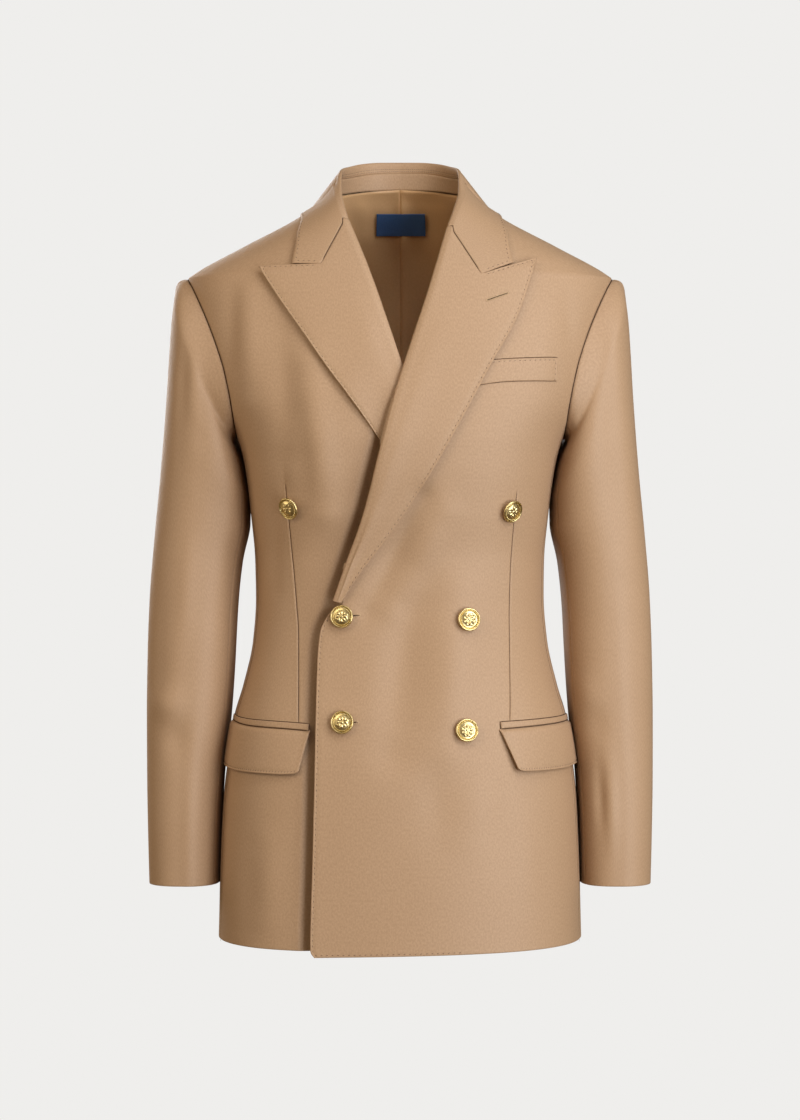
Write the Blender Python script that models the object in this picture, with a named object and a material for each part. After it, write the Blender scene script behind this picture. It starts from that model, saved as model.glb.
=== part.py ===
"""Double-breasted blazer, worn shape without a wearer.

Metres, +Z up, the front faces -Y.  The origin lies in the hollow of the neck,
level with the top of the shoulder seams.  Tables are in millimetres.
"""
import math

import bpy
import numpy as np

# ---------------------------------------------------------------- sizes (mm)
BODY_WALL = 1.5        # shell cloth with its lining, fused front
FOLD_WALL = 1.6        # lapel and collar, two layers pressed together
SLEEVE_WALL = 1.5
LINING_WALL = 1.0
SEAM_SHARE = 0.0013    # radians each panel keeps from a seam line
SIDE_Y = 5.0           # side seams stand a little behind the origin
FRONT_SEAM = 75.0      # degrees round the body, 0 = centre front
BACK_SEAM = 116.0
UNDERARM = 150.0       # degrees round the armhole where the front panel ends
LAPEL_LIFT = 4.5       # face of a lapel above the front it lies on
BUTTON_RADIUS = 11.0

# body sections: height, half width, front depth, back depth, squareness
SECTIONS = np.array([
    (-721, 178.0, 131, 126, 0.070),
    (-690, 176.8, 130, 125, 0.070),
    (-630, 174.8, 128, 123, 0.068),
    (-579, 172.6, 126, 119, 0.064),
    (-547, 169.3, 124, 114, 0.060),
    (-500, 162.4, 119, 104, 0.056),
    (-471, 153.8, 115, 97, 0.054),
    (-427, 144.2, 110, 88, 0.054),
    (-384, 141.2, 107, 83, 0.056),
    (-350, 141.6, 108.5, 85, 0.060),
    (-304, 145.6, 116, 92, 0.066),
    (-255, 152.6, 124, 101, 0.066),
    (-230, 160.0, 126, 105, 0.060),
    (-200, 175.0, 125, 108, 0.050),
    (-170, 186.0, 121, 110, 0.044),
    (-140, 195.5, 115, 110, 0.040),
    (-110, 203.0, 107, 107, 0.040),
    (-74, 208.0, 94, 101, 0.040),
    (-43, 154.0, 80, 92, 0.035),
    (-16, 103.0, 68, 80, 0.030),
    (6, 71.0, 56, 69, 0.020),
    (24, 60.0, 44, 61, 0.010),
    (60, 56.0, 40, 60, 0.010),
], float)

# front edge of the wearer's left front, seen from the front: height, x
FRONT_EDGE = [
    (-723.4, -80.0), (-717.8, -83.8), (-642, -82.1), (-570, -80.4), (-524, -79.4),
    (-486, -78.6), (-457, -77.8), (-432, -76.5), (-416, -74.3), (-405, -69.5),
    (-397, -64.0),
]

# lapels, x measured towards the side the lapel belongs to:
# share of length, fold x, fold height, edge x, edge height
LAPEL_LEFT = np.array([
    (0.00, 46.5, -30.5, 130.1, -62.1),
    (0.15, 28.4, -93.1, 110.1, -119.3),
    (0.30, 12.7, -141.5, 86.9, -161.9),
    (0.45, -3.8, -193.9, 58.4, -215.4),
    (0.60, -17.9, -247.5, 29.2, -266.2),
    (0.75, -32.1, -303.7, -2.8, -316.0),
    (0.90, -50.2, -356.6, -37.8, -362.7),
    (1.00, -60.6, -388.0, -54.5, -389.6),
])
LAPEL_RIGHT = np.array([
    (0.00, 50.8, -22.4, 134.1, -70.3),
    (0.15, 31.4, -71.4, 111.2, -105.7),
    (0.30, 14.2, -120.4, 88.0, -139.0),
    (0.45, -2.8, -171.1, 65.0, -172.2),
    (0.60, -18.8, -220.3, 40.4, -205.1),
    (0.75, -33.9, -271.8, 15.0, -241.9),
    (0.90, -49.2, -326.3, -26.4, -303.7),
    (1.00, -61.8, -381.0, -55.7, -382.6),
])
NOTCH_LEFT, POINT_LEFT = (76.5, -78.2), (107.8, -66.5)
NOTCH_RIGHT, POINT_RIGHT = (74.7, -68.6), (103.0, -67.6)

# neckline on the body: degrees round the body, height
NECKLINE = [(36, -20), (50, -8), (70, 2), (90, 6), (120, 13.5), (150, 18.5), (180, 20.5)]

# collar, centre back to gorge: share, fold x y z, outer edge x y z
COLLAR = np.array([
    (0.00, 0, 70, 47.6, 0, 79, 8),
    (0.15, 20, 67.5, 47.2, 30, 76, 6.5),
    (0.30, 37, 57, 44.6, 58, 64, 2),
    (0.45, 50, 38, 39.4, 80, 38, -8.5),
    (0.60, 57, 14, 34, 95, 8, -14),
    (0.72, 58.5, -10, 23, 98.5, -28, -22),
    (0.82, 58, -27, 9, 102, -50, -36),
    (0.92, 54, -46, -11, 104.5, -66, -52),
    (1.00, 49, -63, -27, 106, -78, -66),
])

# sleeve rings: outer x z, inner x z, half depth, middle y
SLEEVE = np.array([
    (214.5, -76.5, 159.8, -233.5, 57, 4),
    (219.0, -88.0, 158.8, -241.0, 58.5, 4.5),
    (222.5, -112.0, 156.5, -255.0, 60, 5.5),
    (225.0, -145.0, 153.6, -272.0, 60.5, 7),
    (228.0, -190.0, 151.3, -288.0, 60, 9.5),
    (234.0, -262.0, 150.8, -314.0, 57, 14),
    (240.0, -326.0, 153.0, -352.0, 54, 18.5),
    (244.5, -384.0, 157.8, -396.0, 52, 21.5),
    (246.5, -440.0, 161.6, -442.0, 50.5, 22),
    (247.3, -500.0, 168.6, -500.0, 48.5, 20.5),
    (247.0, -560.0, 174.3, -556.0, 46.5, 17.5),
    (246.0, -615.0, 178.0, -612.0, 44.5, 14.5),
    (244.7, -664.6, 179.0, -664.6, 43, 12),
])
SLEEVE_LEAN = 0.10     # the back of each sleeve stands nearer to the body
# long soft folds of the sleeves: side, degrees round the arm, height of the
# middle, half width in degrees, half length, rise (a trough is below zero)
SLEEVE_FOLDS = [
    (-1, 84, -560, 15, 150, 1.6),
    (-1, 54, -500, 18, 170, -2.0),
    (-1, 262, -400, 26, 60, -2.2),
    (-1, 290, -330, 18, 90, 1.5),
    (1, 102, -330, 20, 130, 1.4),
    (1, 126, -545, 18, 60, -2.2),
    (1, 60, -450, 18, 140, -1.6),
    (1, 268, -410, 24, 70, -2.0),
    (1, 240, -300, 18, 80, 1.5),
]
ARMHOLE_TOP, ARMHOLE_FOOT = (208.0, -74.0), (160.0, -230.0)


# ------------------------------------------------------------ smooth curves
def smooth(knots, values, at):
    """Monotone cubic through the knots: no overshoot between sections."""
    x, y = np.asarray(knots, float), np.asarray(values, float)
    h = np.diff(x)
    rise = np.diff(y) / h
    m = np.empty(len(x))
    m[0], m[-1] = rise[0], rise[-1]
    for i in range(1, len(x) - 1):
        if rise[i - 1] * rise[i] <= 0:
            m[i] = 0.0
        else:
            w1, w2 = 2 * h[i] + h[i - 1], h[i] + 2 * h[i - 1]
            m[i] = (w1 + w2) / (w1 / rise[i - 1] + w2 / rise[i])
    at = np.clip(at, x[0], x[-1])
    i = np.clip(np.searchsorted(x, at, side='right') - 1, 0, len(x) - 2)
    t = (at - x[i]) / h[i]
    return ((1 + 2 * t) * (1 - t) ** 2 * y[i] + t * (1 - t) ** 2 * h[i] * m[i]
            + t * t * (3 - 2 * t) * y[i + 1] + t * t * (t - 1) * h[i] * m[i + 1])


def step(t):
    t = np.clip(t, 0.0, 1.0)
    return t * t * (3 - 2 * t)


# ------------------------------------------------------------ the body form
def section(z):
    return [smooth(SECTIONS[:, 0], SECTIONS[:, k], z) for k in (1, 2, 3, 4)]


def form(angle, z):
    """Point of the body form; angle 0 = centre front, 90 = the side."""
    angle, z = np.broadcast_arrays(np.radians(angle), np.asarray(z, float))
    a, f, b, k = section(z)
    box = 1 + k * np.sin(2 * angle) ** 2
    depth = np.where(np.cos(angle) > 0, f, b)
    return np.stack([a * np.sin(angle) * box,
                     SIDE_Y - depth * np.cos(angle) * box, z], -1)


def level_set(p):
    a, f, b, k = section(p[..., 2])
    y = p[..., 1] - SIDE_Y
    u, v = p[..., 0] / a, -y / np.where(y < 0, f, b)
    box = 1 + k * np.sin(2 * np.arctan2(u, v)) ** 2
    return np.hypot(u, v) / box - 1


def outward(p):
    """Unit normal of the form, from the slope of its level set."""
    e, g = 0.4, []
    for axis in np.eye(3) * e:
        g.append((level_set(p + axis) - level_set(p - axis)) / (2 * e))
    g = np.stack(g, -1)
    return g / np.linalg.norm(g, axis=-1, keepdims=True)


def height_off(p):
    """Distance of a point from the form, near the form."""
    e, g = 0.4, []
    for axis in np.eye(3) * e:
        g.append((level_set(p + axis) - level_set(p - axis)) / (2 * e))
    return level_set(p) / np.linalg.norm(np.stack(g, -1), axis=-1)


def angle_at(x, z):
    """Angle in degrees of the front point of the form seen at x, z."""
    a, _, _, k = section(z)
    s = np.clip(np.abs(x) / a, 0, 1)
    angle = np.arcsin(s)
    for _ in range(40):
        angle = (angle + np.arcsin(np.clip(s / (1 + k * np.sin(2 * angle) ** 2), 0, 1))) / 2
    return np.degrees(angle) * np.sign(x)


def front_point(x, z, lift=0.0):
    x, z = np.broadcast_arrays(np.asarray(x, float), np.asarray(z, float))
    p = form(angle_at(x, z), z)
    return p + outward(p) * np.asarray(lift)[..., None]


# ---------------------------------------------- the right front lies under
def cover_edge(z):
    """x of the edge of the wearer's left front: front edge, then fold."""
    rows = sorted(FRONT_EDGE + [(r[2], r[1]) for r in LAPEL_LEFT[:-1]])
    return np.interp(z, [r[0] for r in rows], [r[1] for r in rows])


def recede(x, z):
    """How far the wearer's right front sinks to pass under the left one."""
    full = 2.4 + 2.6 * step((z + 440) / 40)
    return full * (1 - step((cover_edge(z) - x - 4) / 60))


# ------------------------------------------------------------ mesh building
def material(name, colour, roughness, metallic=0.0):
    m = bpy.data.materials.new(name)
    m.use_nodes = True
    shader = m.node_tree.nodes['Principled BSDF']
    shader.inputs['Base Color'].default_value = (*colour, 1)
    shader.inputs['Roughness'].default_value = roughness
    shader.inputs['Metallic'].default_value = metallic
    return m


def add_object(name, points, faces, mat):
    mesh = bpy.data.meshes.new(name)
    mesh.from_pydata((np.asarray(points) * 0.001).tolist(), [], faces)
    mesh.materials.append(mat)
    mesh.update()
    obj = bpy.data.objects.new(name, mesh)
    bpy.context.scene.collection.objects.link(obj)
    return obj


def grid_normals(p):
    du = np.gradient(p, axis=1)
    dv = np.gradient(p, axis=0)
    n = np.cross(du, dv)
    return n / np.linalg.norm(n, axis=-1, keepdims=True)


def sheet(name, outer, inner, mat):
    """Closed sheet of cloth between two grids of points, rim included."""
    rows, cols = outer.shape[:2]
    size = rows * cols
    faces = []
    for r in range(rows - 1):
        for c in range(cols - 1):
            i = r * cols + c
            faces.append((i, i + 1, i + cols + 1, i + cols))
            faces.append((size + i, size + i + cols, size + i + cols + 1, size + i + 1))
    rim = ([c for c in range(cols)] + [r * cols + cols - 1 for r in range(1, rows)]
           + [(rows - 1) * cols + c for c in range(cols - 2, -1, -1)]
           + [r * cols for r in range(rows - 2, 0, -1)])
    for i, j in zip(rim, rim[1:] + rim[:1]):
        faces.append((i, size + i, size + j, j))
    points = np.concatenate([outer.reshape(-1, 3), inner.reshape(-1, 3)])
    a, b, c = outer[0, 0], outer[0, 1], outer[1, 0]
    if np.dot(np.cross(b - a, c - a), outer[0, 0] - inner[0, 0]) < 0:
        faces = [f[::-1] for f in faces]
    return add_object(name, points, faces, mat)


def mirror(p, side):
    return p * np.array([side, 1, 1])


# -------------------------------------------------------------- the armhole
def armhole(theta):
    """Angle and height on the form; theta 0 = shoulder, 90 front, 180 underarm."""
    t = np.radians(theta)
    z = -152 + 78 * np.cos(t)
    share = (z - ARMHOLE_FOOT[1]) / (ARMHOLE_TOP[1] - ARMHOLE_FOOT[1])
    bow = np.where(np.sin(t) > 0, 10.0, 5.0) * np.sin(t) ** 2
    x = ARMHOLE_FOOT[0] + (ARMHOLE_TOP[0] - ARMHOLE_FOOT[0]) * share - bow
    angle = angle_at(x, z)
    return np.where(np.sin(t) >= 0, angle, 180 - angle), z


def front_seam(z):
    return FRONT_SEAM + (armhole(UNDERARM)[0] - FRONT_SEAM) * step((z + 300) / 80)


def back_seam(z):
    return BACK_SEAM + (armhole(360 - UNDERARM)[0] - BACK_SEAM) * step((z + 300) / 80)


# ------------------------------------------------------------- body panels
SIDE_LEVELS = [-716.5, -711, -688, -655, -620, -585, -550, -515, -480, -450,
               -425, -403, -388, -372, -348, -322, -296, -270, -246]
EDGE_LEVELS = [-723.4, -717.8, -690, -655, -620, -585, -550, -515, -480, -450,
               -425, -405, -397]
FOLD_LEVELS = [-365, -335, -305, -275, -245, -215, -185, -155, -125, -95, -65, -45]
FRONT_ARMHOLE = [150, 130, 110, 90, 70, 50, 36, 25, 17, 11, 5, 0]
BACK_LEVELS = [-215, -182, -150, -118, -86, -54, -24, 2]
BACK_ARMHOLE = [210, 228, 246, 264, 282, 299, 315, 329, 340, 349, 355, 360]
INSET = math.degrees(SEAM_SHARE)


def lapel_of(side):
    return LAPEL_LEFT if side > 0 else LAPEL_RIGHT


def fold_x(side, z):
    table = lapel_of(side)[::-1]
    return smooth(table[:, 2], table[:, 1], z)


def front_rows(side):
    """Both ends of every row of a front panel, as angle and height."""
    table = lapel_of(side)
    x_edge = np.interp(EDGE_LEVELS, [r[0] for r in FRONT_EDGE], [r[1] for r in FRONT_EDGE])
    left = [(float(angle_at(x, z)), z) for x, z in zip(x_edge, EDGE_LEVELS)]
    if side < 0:            # the under front is cut a little shorter
        left[0], left[1] = (left[0][0], -720.4), (left[1][0], -714.8)
    for z in [table[-1, 2] - 3] + FOLD_LEVELS + [table[0, 2]]:
        left.append((float(angle_at(fold_x(side, z) + 6.3, z)), z))
    left += NECKLINE[:3] + [(90 - INSET, NECKLINE[3][1])]
    right = [(float(front_seam(z)) - INSET, z) for z in SIDE_LEVELS]
    for theta in FRONT_ARMHOLE:
        angle, z = armhole(theta)
        right.append((min(float(angle), 90 - INSET), float(z)))
    right[len(SIDE_LEVELS)] = (right[len(SIDE_LEVELS)][0] - INSET, right[len(SIDE_LEVELS)][1])
    return np.array(left), np.array(right)


def side_rows():
    left = [(float(front_seam(z)) + INSET, z) for z in SIDE_LEVELS]
    right = [(float(back_seam(z)) - INSET, z) for z in SIDE_LEVELS]
    return np.array(left), np.array(right)


def back_rows():
    left = [(180 - INSET, z) for z in SIDE_LEVELS + BACK_LEVELS]
    left += [(min(a, 180 - INSET), z) for a, z in NECKLINE[:3:-1]]
    left += [(90 + INSET, NECKLINE[3][1])]
    right = [(float(back_seam(z)) + INSET, z) for z in SIDE_LEVELS]
    for theta in BACK_ARMHOLE:
        angle, z = armhole(theta)
        right.append((max(float(angle), 90 + INSET), float(z)))
    right[len(SIDE_LEVELS)] = (right[len(SIDE_LEVELS)][0] + INSET, right[len(SIDE_LEVELS)][1])
    return np.array(left), np.array(right)


def between(left, right, columns):
    u = np.linspace(0, 1, columns + 1)[None, :, None]
    return left[:, None] + (right - left)[:, None] * u


def body_panel(name, side, rows, lift, wall, mat):
    """Panel on the form from a grid of angles and heights."""
    base = form(rows[..., 0], rows[..., 1])
    n = outward(base)
    x_true = base[..., 0] * side
    sink = recede(x_true, rows[..., 1]) if name == 'front_right' else 0 * x_true
    top = (lift - sink)[..., None]
    return sheet(name, mirror(base + n * top, side), mirror(base + n * (top - wall), side), mat)


def side_grid(columns):
    left, right = side_rows()
    rows = between(left, right, columns)
    angle, z = armhole(np.linspace(UNDERARM, 360 - UNDERARM, columns + 1))
    angle[0] += INSET
    angle[-1] -= INSET
    return np.concatenate([rows, np.stack([angle, z], -1)[None]])


# ------------------------------------------------------------------ lapels
WRAP = [(5.7, -1.9), (3.4, -1.9), (1.0, -1.9), (-1.1, -0.9), (-1.9, 1.2),
        (-0.9, 3.3), (1.0, 4.2), (3.4, LAPEL_LIFT)]   # across the fold: distance, lift
ALONG = 6                                            # columns from fold to edge
LAPEL_SHARES = [0, .03, .08, .15, .22, .3, .375, .45, .525, .6, .675, .75, .825, .9, .95, 1]


def lapel_grid(side, shares):
    """Face of a lapel: x, height and lift, from inside the fold to the edge."""
    table = lapel_of(side)
    notch = np.array(NOTCH_LEFT if side > 0 else NOTCH_RIGHT)
    t = np.asarray(shares, float)
    fold = np.stack([smooth(table[:, 0], table[:, k], t) for k in (1, 2)], -1)
    edge = np.stack([smooth(table[:, 0], table[:, k], t) for k in (3, 4)], -1)
    run = np.gradient(fold, t, axis=0)
    run /= np.linalg.norm(run, axis=-1, keepdims=True)
    across = np.stack([-run[:, 1], run[:, 0]], -1)
    width = np.linalg.norm(edge - fold, axis=-1)
    straight = (edge - fold) / width[:, None]
    width = np.maximum(width, 6.2)
    corner = fold[0] + straight[0] * width[0]
    rows = []
    for i in range(len(t)):
        row = [(*(fold[i] + across[i] * d), h) for d, h in WRAP]
        for j in range(1, ALONG + 1):
            q = j / ALONG
            d = 3.4 + (width[i] - 3.4) * q
            at = fold[i] + straight[i] * d
            s, s_notch = d / width[i], (3.4 + (width[i] - 3.4) * 0.5) / width[i]
            if s <= s_notch:
                bent = fold[0] + (notch - fold[0]) * s / s_notch
            else:
                bent = notch + (corner - notch) * (s - s_notch) / (1 - s_notch)
            plain = fold[0] + straight[0] * (width[0] * s)
            at = at + (bent - plain) * (1 - step(t[i] / 0.22))
            row.append((*at, LAPEL_LIFT - 0.7 * q ** 2))
        rows.append(row)
    return np.array(rows)


def lapel_points(side, shares):
    g = lapel_grid(side, shares)
    x, z, lift = g[..., 0], g[..., 1], g[..., 2]
    if side < 0:
        away = cover_edge(z) + x
        press = 1 - 0.48 * (1 - step((away - 3) / 45))
        lift = np.where(lift > 0, lift * press, lift) - recede(-x, z)
    return mirror(front_point(x, z, lift), side)


# ------------------------------------------------------------------ collar
COLLAR_SHARES = [0, .08, .15, .225, .3, .375, .45, .525, .6, .66, .72, .77, .82, .87, .92, .96, 1]


def neckline_at(share, side):
    """Seam of the collar on the body for a share of the collar's length."""
    end = front_point(lapel_of(side)[0, 1] + 6.3, lapel_of(side)[0, 2])
    share = np.asarray(share, float)
    angle = smooth([0, .15, .3, .45, .6, .72, .82, .92, 1],
                   [180, 163, 146, 125, 98, 75, 58, 40, 30], share)
    z = smooth([30] + [r[0] for r in NECKLINE], [-26] + [r[1] for r in NECKLINE], angle)
    p = form(angle, z)
    w = step((share - 0.88) / 0.12)[..., None]
    return p * (1 - w) + end * w


def collar_side(side, shares):
    """Face of half the collar in 3D: stand side, over the fold, to the edge."""
    table = COLLAR.copy()
    lapel = lapel_of(side)
    notch = np.array(NOTCH_LEFT if side > 0 else NOTCH_RIGHT)
    point = np.array(POINT_LEFT if side > 0 else POINT_RIGHT)
    top = front_point(lapel[0, 1], lapel[0, 2])
    table[-2, 1:4] += (top - table[-1, 1:4]) * 0.4
    table[-1, 1:4] = top
    table[-1, 4], table[-1, 6] = point
    if side < 0:            # this half lies a little closer to the neck
        table[-4:-1, 4] -= 4.5
    s = np.asarray(shares, float)
    fold = np.stack([smooth(table[:, 0], table[:, k], s) for k in (1, 2, 3)], -1)
    edge = np.stack([smooth(table[:, 0], table[:, k], s) for k in (4, 5, 6)], -1)
    seam = neckline_at(s, side)
    down = seam - fold
    reach = np.linalg.norm(down, axis=-1)
    down /= reach[:, None]
    inner = np.minimum(9.8, reach - 0.8)
    out = np.stack([fold[:, 0], fold[:, 1] - SIDE_Y, 0 * s], -1)
    out /= np.linalg.norm(out, axis=-1, keepdims=True)
    up = np.array([0, 0, 1.0])
    fall = edge - fold
    fall_length = np.linalg.norm(fall, axis=-1)
    fall /= fall_length[:, None]
    neck, flat = [], []
    run = np.gradient(fold[:, [0, 2]], s, axis=0)
    run /= np.linalg.norm(run, axis=-1, keepdims=True)
    across = np.stack([-run[:, 1], run[:, 0]], -1)
    for i in range(len(s)):
        f, q = fold[i], out[i]
        row = [f + down[i] * inner[i] - q * 2.0, f + down[i] * inner[i] * .55 - q * 2.0,
               f + down[i] * 2.0 - q * 2.0, f - q * 1.4 + up * 0.9, f + up * 1.8,
               f + q * 1.5 + up * 1.2 + fall[i] * 0.6, f + q * 2.1 + fall[i] * 2.2,
               f + q * 2.2 + fall[i] * 4.6]
        for j in range(1, ALONG + 1):
            r = j / ALONG
            at = f + fall[i] * (4.6 + (fall_length[i] - 4.6) * r)
            at = at + q * (2.2 * (1 - r) + 0.8 * r * (1 - r))
            row.append(at)
        neck.append(row)
        f2, o2 = fold[i, [0, 2]], edge[i, [0, 2]]
        row = [(*(f2 + down[i, [0, 2]] * inner[i] * k), WRAP[0][1]) for k in (1, .55)]
        row += [(*(f2 + across[i] * d), h) for d, h in WRAP[2:]]
        line = (o2 - f2) / np.linalg.norm(o2 - f2)
        bend = step((s[i] - 0.72) / 0.28)
        lap = (notch - lapel[0, [1, 2]])
        for j in range(1, ALONG + 1):
            r = j / ALONG
            plain = f2 + line * (3.4 + (np.linalg.norm(o2 - f2) - 3.4) * r)
            if j <= 3:
                bent = lapel[0, [1, 2]] + lap * (0.06 + 0.94 * j / 3)
            else:
                bent = notch + (point - notch) * (j - 3) / 3
            at = plain + (bent - lapel[0, [1, 2]] - (point - lapel[0, [1, 2]]) * (0.04 + 0.96 * r)) * bend
            row.append((*at, LAPEL_LIFT - 0.7 * r ** 2))
        flat.append(row)
    neck, flat = np.array(neck), np.array(flat)
    low = height_off(neck[:, 8:])
    least = np.linspace(3.6, 2.8, ALONG)
    neck[:, 8:] += outward(neck[:, 8:]) * np.maximum(least - low, 0)[..., None]
    lift = flat[..., 2]
    if side < 0:
        lift = lift - recede(-flat[..., 0], flat[..., 1])
    laid = front_point(flat[..., 0], flat[..., 1], lift)
    laid[-1] += np.array([0.34, 0, 0.52])
    w = step((s - 0.6) / 0.32)[:, None, None]
    return mirror(neck * (1 - w) + laid * w, side)


def lapel_normals(face):
    n = grid_normals(face)
    return n if n[4, -3, 1] < 0 else -n


def fold_sheet(name, face, n, mat):
    """Folded cloth: the second face lies inside the fold."""
    return sheet(name, face, face - n * FOLD_WALL, mat)


# ----------------------------------------------------------------- sleeves
def fold_rise(side, theta, z):
    """Sum of the soft folds of a sleeve at an angle and a height."""
    rise = 0 * z
    for on, at, middle, half_width, half_length, height in SLEEVE_FOLDS:
        if on == side:
            round_arm = (theta - at + 180) % 360 - 180
            rise += height * np.exp(-(round_arm / half_width) ** 2 - ((z - middle) / half_length) ** 2)
    return rise * step((-120 - z) / 60)


def sleeve_grid(side, theta, rings):
    """Outer points of a sleeve: first ring round the armhole, then down."""
    theta = np.asarray(theta, float)
    angle, z = armhole(theta)
    start = form(angle, z)
    n = outward(start)
    ahead_angle, ahead_z = armhole(theta + 0.5)
    tangent = form(ahead_angle, ahead_z) - start
    tangent /= np.linalg.norm(tangent, axis=-1, keepdims=True)
    open_side = np.cross(n, tangent)
    centre = np.array([184, 5, -152.0])
    flip = np.sign(np.sum(open_side * (centre - start), -1))
    open_side *= flip[:, None]
    foot = ((1 - np.cos(np.radians(theta))) / 2)[:, None]
    first = start + open_side * 0.45 + n * (0.1 + 0.9 * foot)
    t = np.radians(theta)
    rows = [first]
    for ox, oz, ix, iz, depth, mid in rings:
        cx, cz, rx, rz = (ox + ix) / 2, (oz + iz) / 2, (ox - ix) / 2, (oz - iz) / 2
        level = cz + rz * np.cos(t)
        box = 1 + 0.03 * np.sin(2 * t) ** 2 + fold_rise(side, theta, level) / depth
        y = mid - depth * np.sin(t) * box
        rows.append(np.stack([cx + rx * np.cos(t) * box - SLEEVE_LEAN * (y - mid),
                              y, cz + rz * np.cos(t) * box], -1))
    return np.array(rows)


def even_rings(count):
    """More rings between the tabled ones, smooth along the arm."""
    at = np.arange(len(SLEEVE))
    more = np.linspace(0, len(SLEEVE) - 1, count)
    return np.stack([smooth(at, SLEEVE[:, k], more) for k in range(SLEEVE.shape[1])], -1)


SLEEVE_RINGS = 18


def sleeve_part(name, side, first, last, columns, mat):
    theta = np.linspace(first, last, columns + 1)
    rings = even_rings(SLEEVE_RINGS)
    grid = sleeve_grid(side, theta, rings)
    along = np.gradient(grid, axis=0)
    around = sleeve_grid(side, theta + 1, rings) - sleeve_grid(side, theta - 1, rings)
    n = np.cross(around, along)
    n /= np.linalg.norm(n, axis=-1, keepdims=True)
    return sheet(name, mirror(grid, side), mirror(grid - n * SLEEVE_WALL, side), mat)


# ----------------------------------------------------- pieces laid on panels
def laid_patch(name, side, x, z, lift, wall, mat, angles=False):
    """Small piece made of points of the panel under it, moved outwards."""
    if angles:
        base = form(x, z)
    else:
        base = form(angle_at(x, z), z)
    n = outward(base)
    sink = recede(-base[..., 0], base[..., 2]) if side < 0 else 0
    top = (lift - sink)[..., None]
    return sheet(name, mirror(base + n * top, side), mirror(base + n * (top - wall), side), mat)


# hip flap seen along its length, front end first: share, top, foot of jet, foot
FLAP_LEFT = np.array([(0, -502.6, -508.9, -543.5), (.07, -502.3, -508.4, -548.2),
                      (.15, -501.9, -507.8, -550.0), (.5, -500.4, -505.8, -549.2),
                      (.75, -499.6, -504.8, -547.5), (1, -499.0, -504.2, -546.8)])
FLAP_RIGHT = np.array([(0, -503.8, -509.9, -544.5), (.07, -503.3, -509.4, -550.2),
                       (.15, -502.9, -508.8, -552.6), (.5, -502.0, -507.6, -551.6),
                       (.75, -500.8, -505.6, -549.6), (1, -498.8, -503.2, -547.6)])
FLAP_ENDS = {1: (93.3, 108.5, 84.0, 86.5), -1: (86.1, 96.0, 81.0, 86.5)}


def hip_pocket(side, flap_name, jet_name, mat):
    table = FLAP_LEFT if side > 0 else FLAP_RIGHT
    x_top, x_foot, rear_top, rear_foot = FLAP_ENDS[side]
    start_top, start_foot = angle_at(x_top, -508.0), angle_at(x_foot, -546.0)
    u = np.array([0, .07, .15, .28, .42, .56, .7, .85, 1.0])
    top, jet, foot = [smooth(table[:, 0], table[:, k], u) for k in (1, 2, 3)]
    v = np.linspace(0, 1, 4)[:, None]
    angle = ((start_top + (start_foot - start_top) * v) * (1 - u)
             + (rear_top + (rear_foot - rear_top) * v) * u)
    z = (jet - 0.3) + (foot - jet + 0.3) * v
    laid_patch(flap_name, side, angle, z, 3.1 + 0.5 * v + 0 * z, 1.8, mat, angles=True)
    v = np.array([[0.0], [1.0]])
    z = top + (jet - top) * v
    angle = (start_top - 0.5) * (1 - u) + (rear_top + 0.4) * u + 0 * v
    laid_patch(jet_name, side, angle, z, 1.5 + 0 * z, 1.2, mat, angles=True)


# buttons: name, side of the body, x towards that side, height
BUTTONS = [
    ('button_chest_right', -1, 103.5, -298.7),
    ('button_chest_left', 1, 104.5, -301.5),
    ('button_waist_edge', 1, -54.0, -403.0),
    ('button_waist_inner', 1, 63.5, -405.8),
    ('button_hip_edge', 1, -53.7, -502.7),
    ('button_hip_inner', 1, 62.2, -510.2),
]
# turned profile: radius, height above the cloth
BUTTON_PROFILE = [(2.6, 0.35), (2.4, 3.3), (9.6, 3.4), (11.0, 4.3), (11.0, 5.3),
                  (10.1, 6.1), (9.0, 5.7), (5.2, 6.6)]


def button(name, side, x, z, mat, segments=16):
    base = front_point(x, z)
    n = outward(base)
    sink = recede(-base[0], base[2]) if side < 0 else 0.0
    u = np.cross([0, 0, 1.0], n)
    u /= np.linalg.norm(u)
    w = np.cross(n, u)
    points, faces = [base + n * (BUTTON_PROFILE[0][1] - sink)], []
    for r, h in BUTTON_PROFILE:
        for k in range(segments):
            a = 2 * math.pi * k / segments
            points.append(base + n * (h - sink) + (u * math.cos(a) + w * math.sin(a)) * r)
    points.append(base + n * (7.1 - sink))
    for k in range(segments):
        m = (k + 1) % segments
        faces.append((0, 1 + m, 1 + k))
        for ring in range(len(BUTTON_PROFILE) - 1):
            i = 1 + ring * segments
            faces.append((i + k, i + m, i + segments + m, i + segments + k))
        i = 1 + (len(BUTTON_PROFILE) - 1) * segments
        faces.append((i + k, i + m, len(points) - 1))
    if side < 0:
        faces = [f[::-1] for f in faces]
    return add_object(name, mirror(np.array(points), side), faces, mat)


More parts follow.
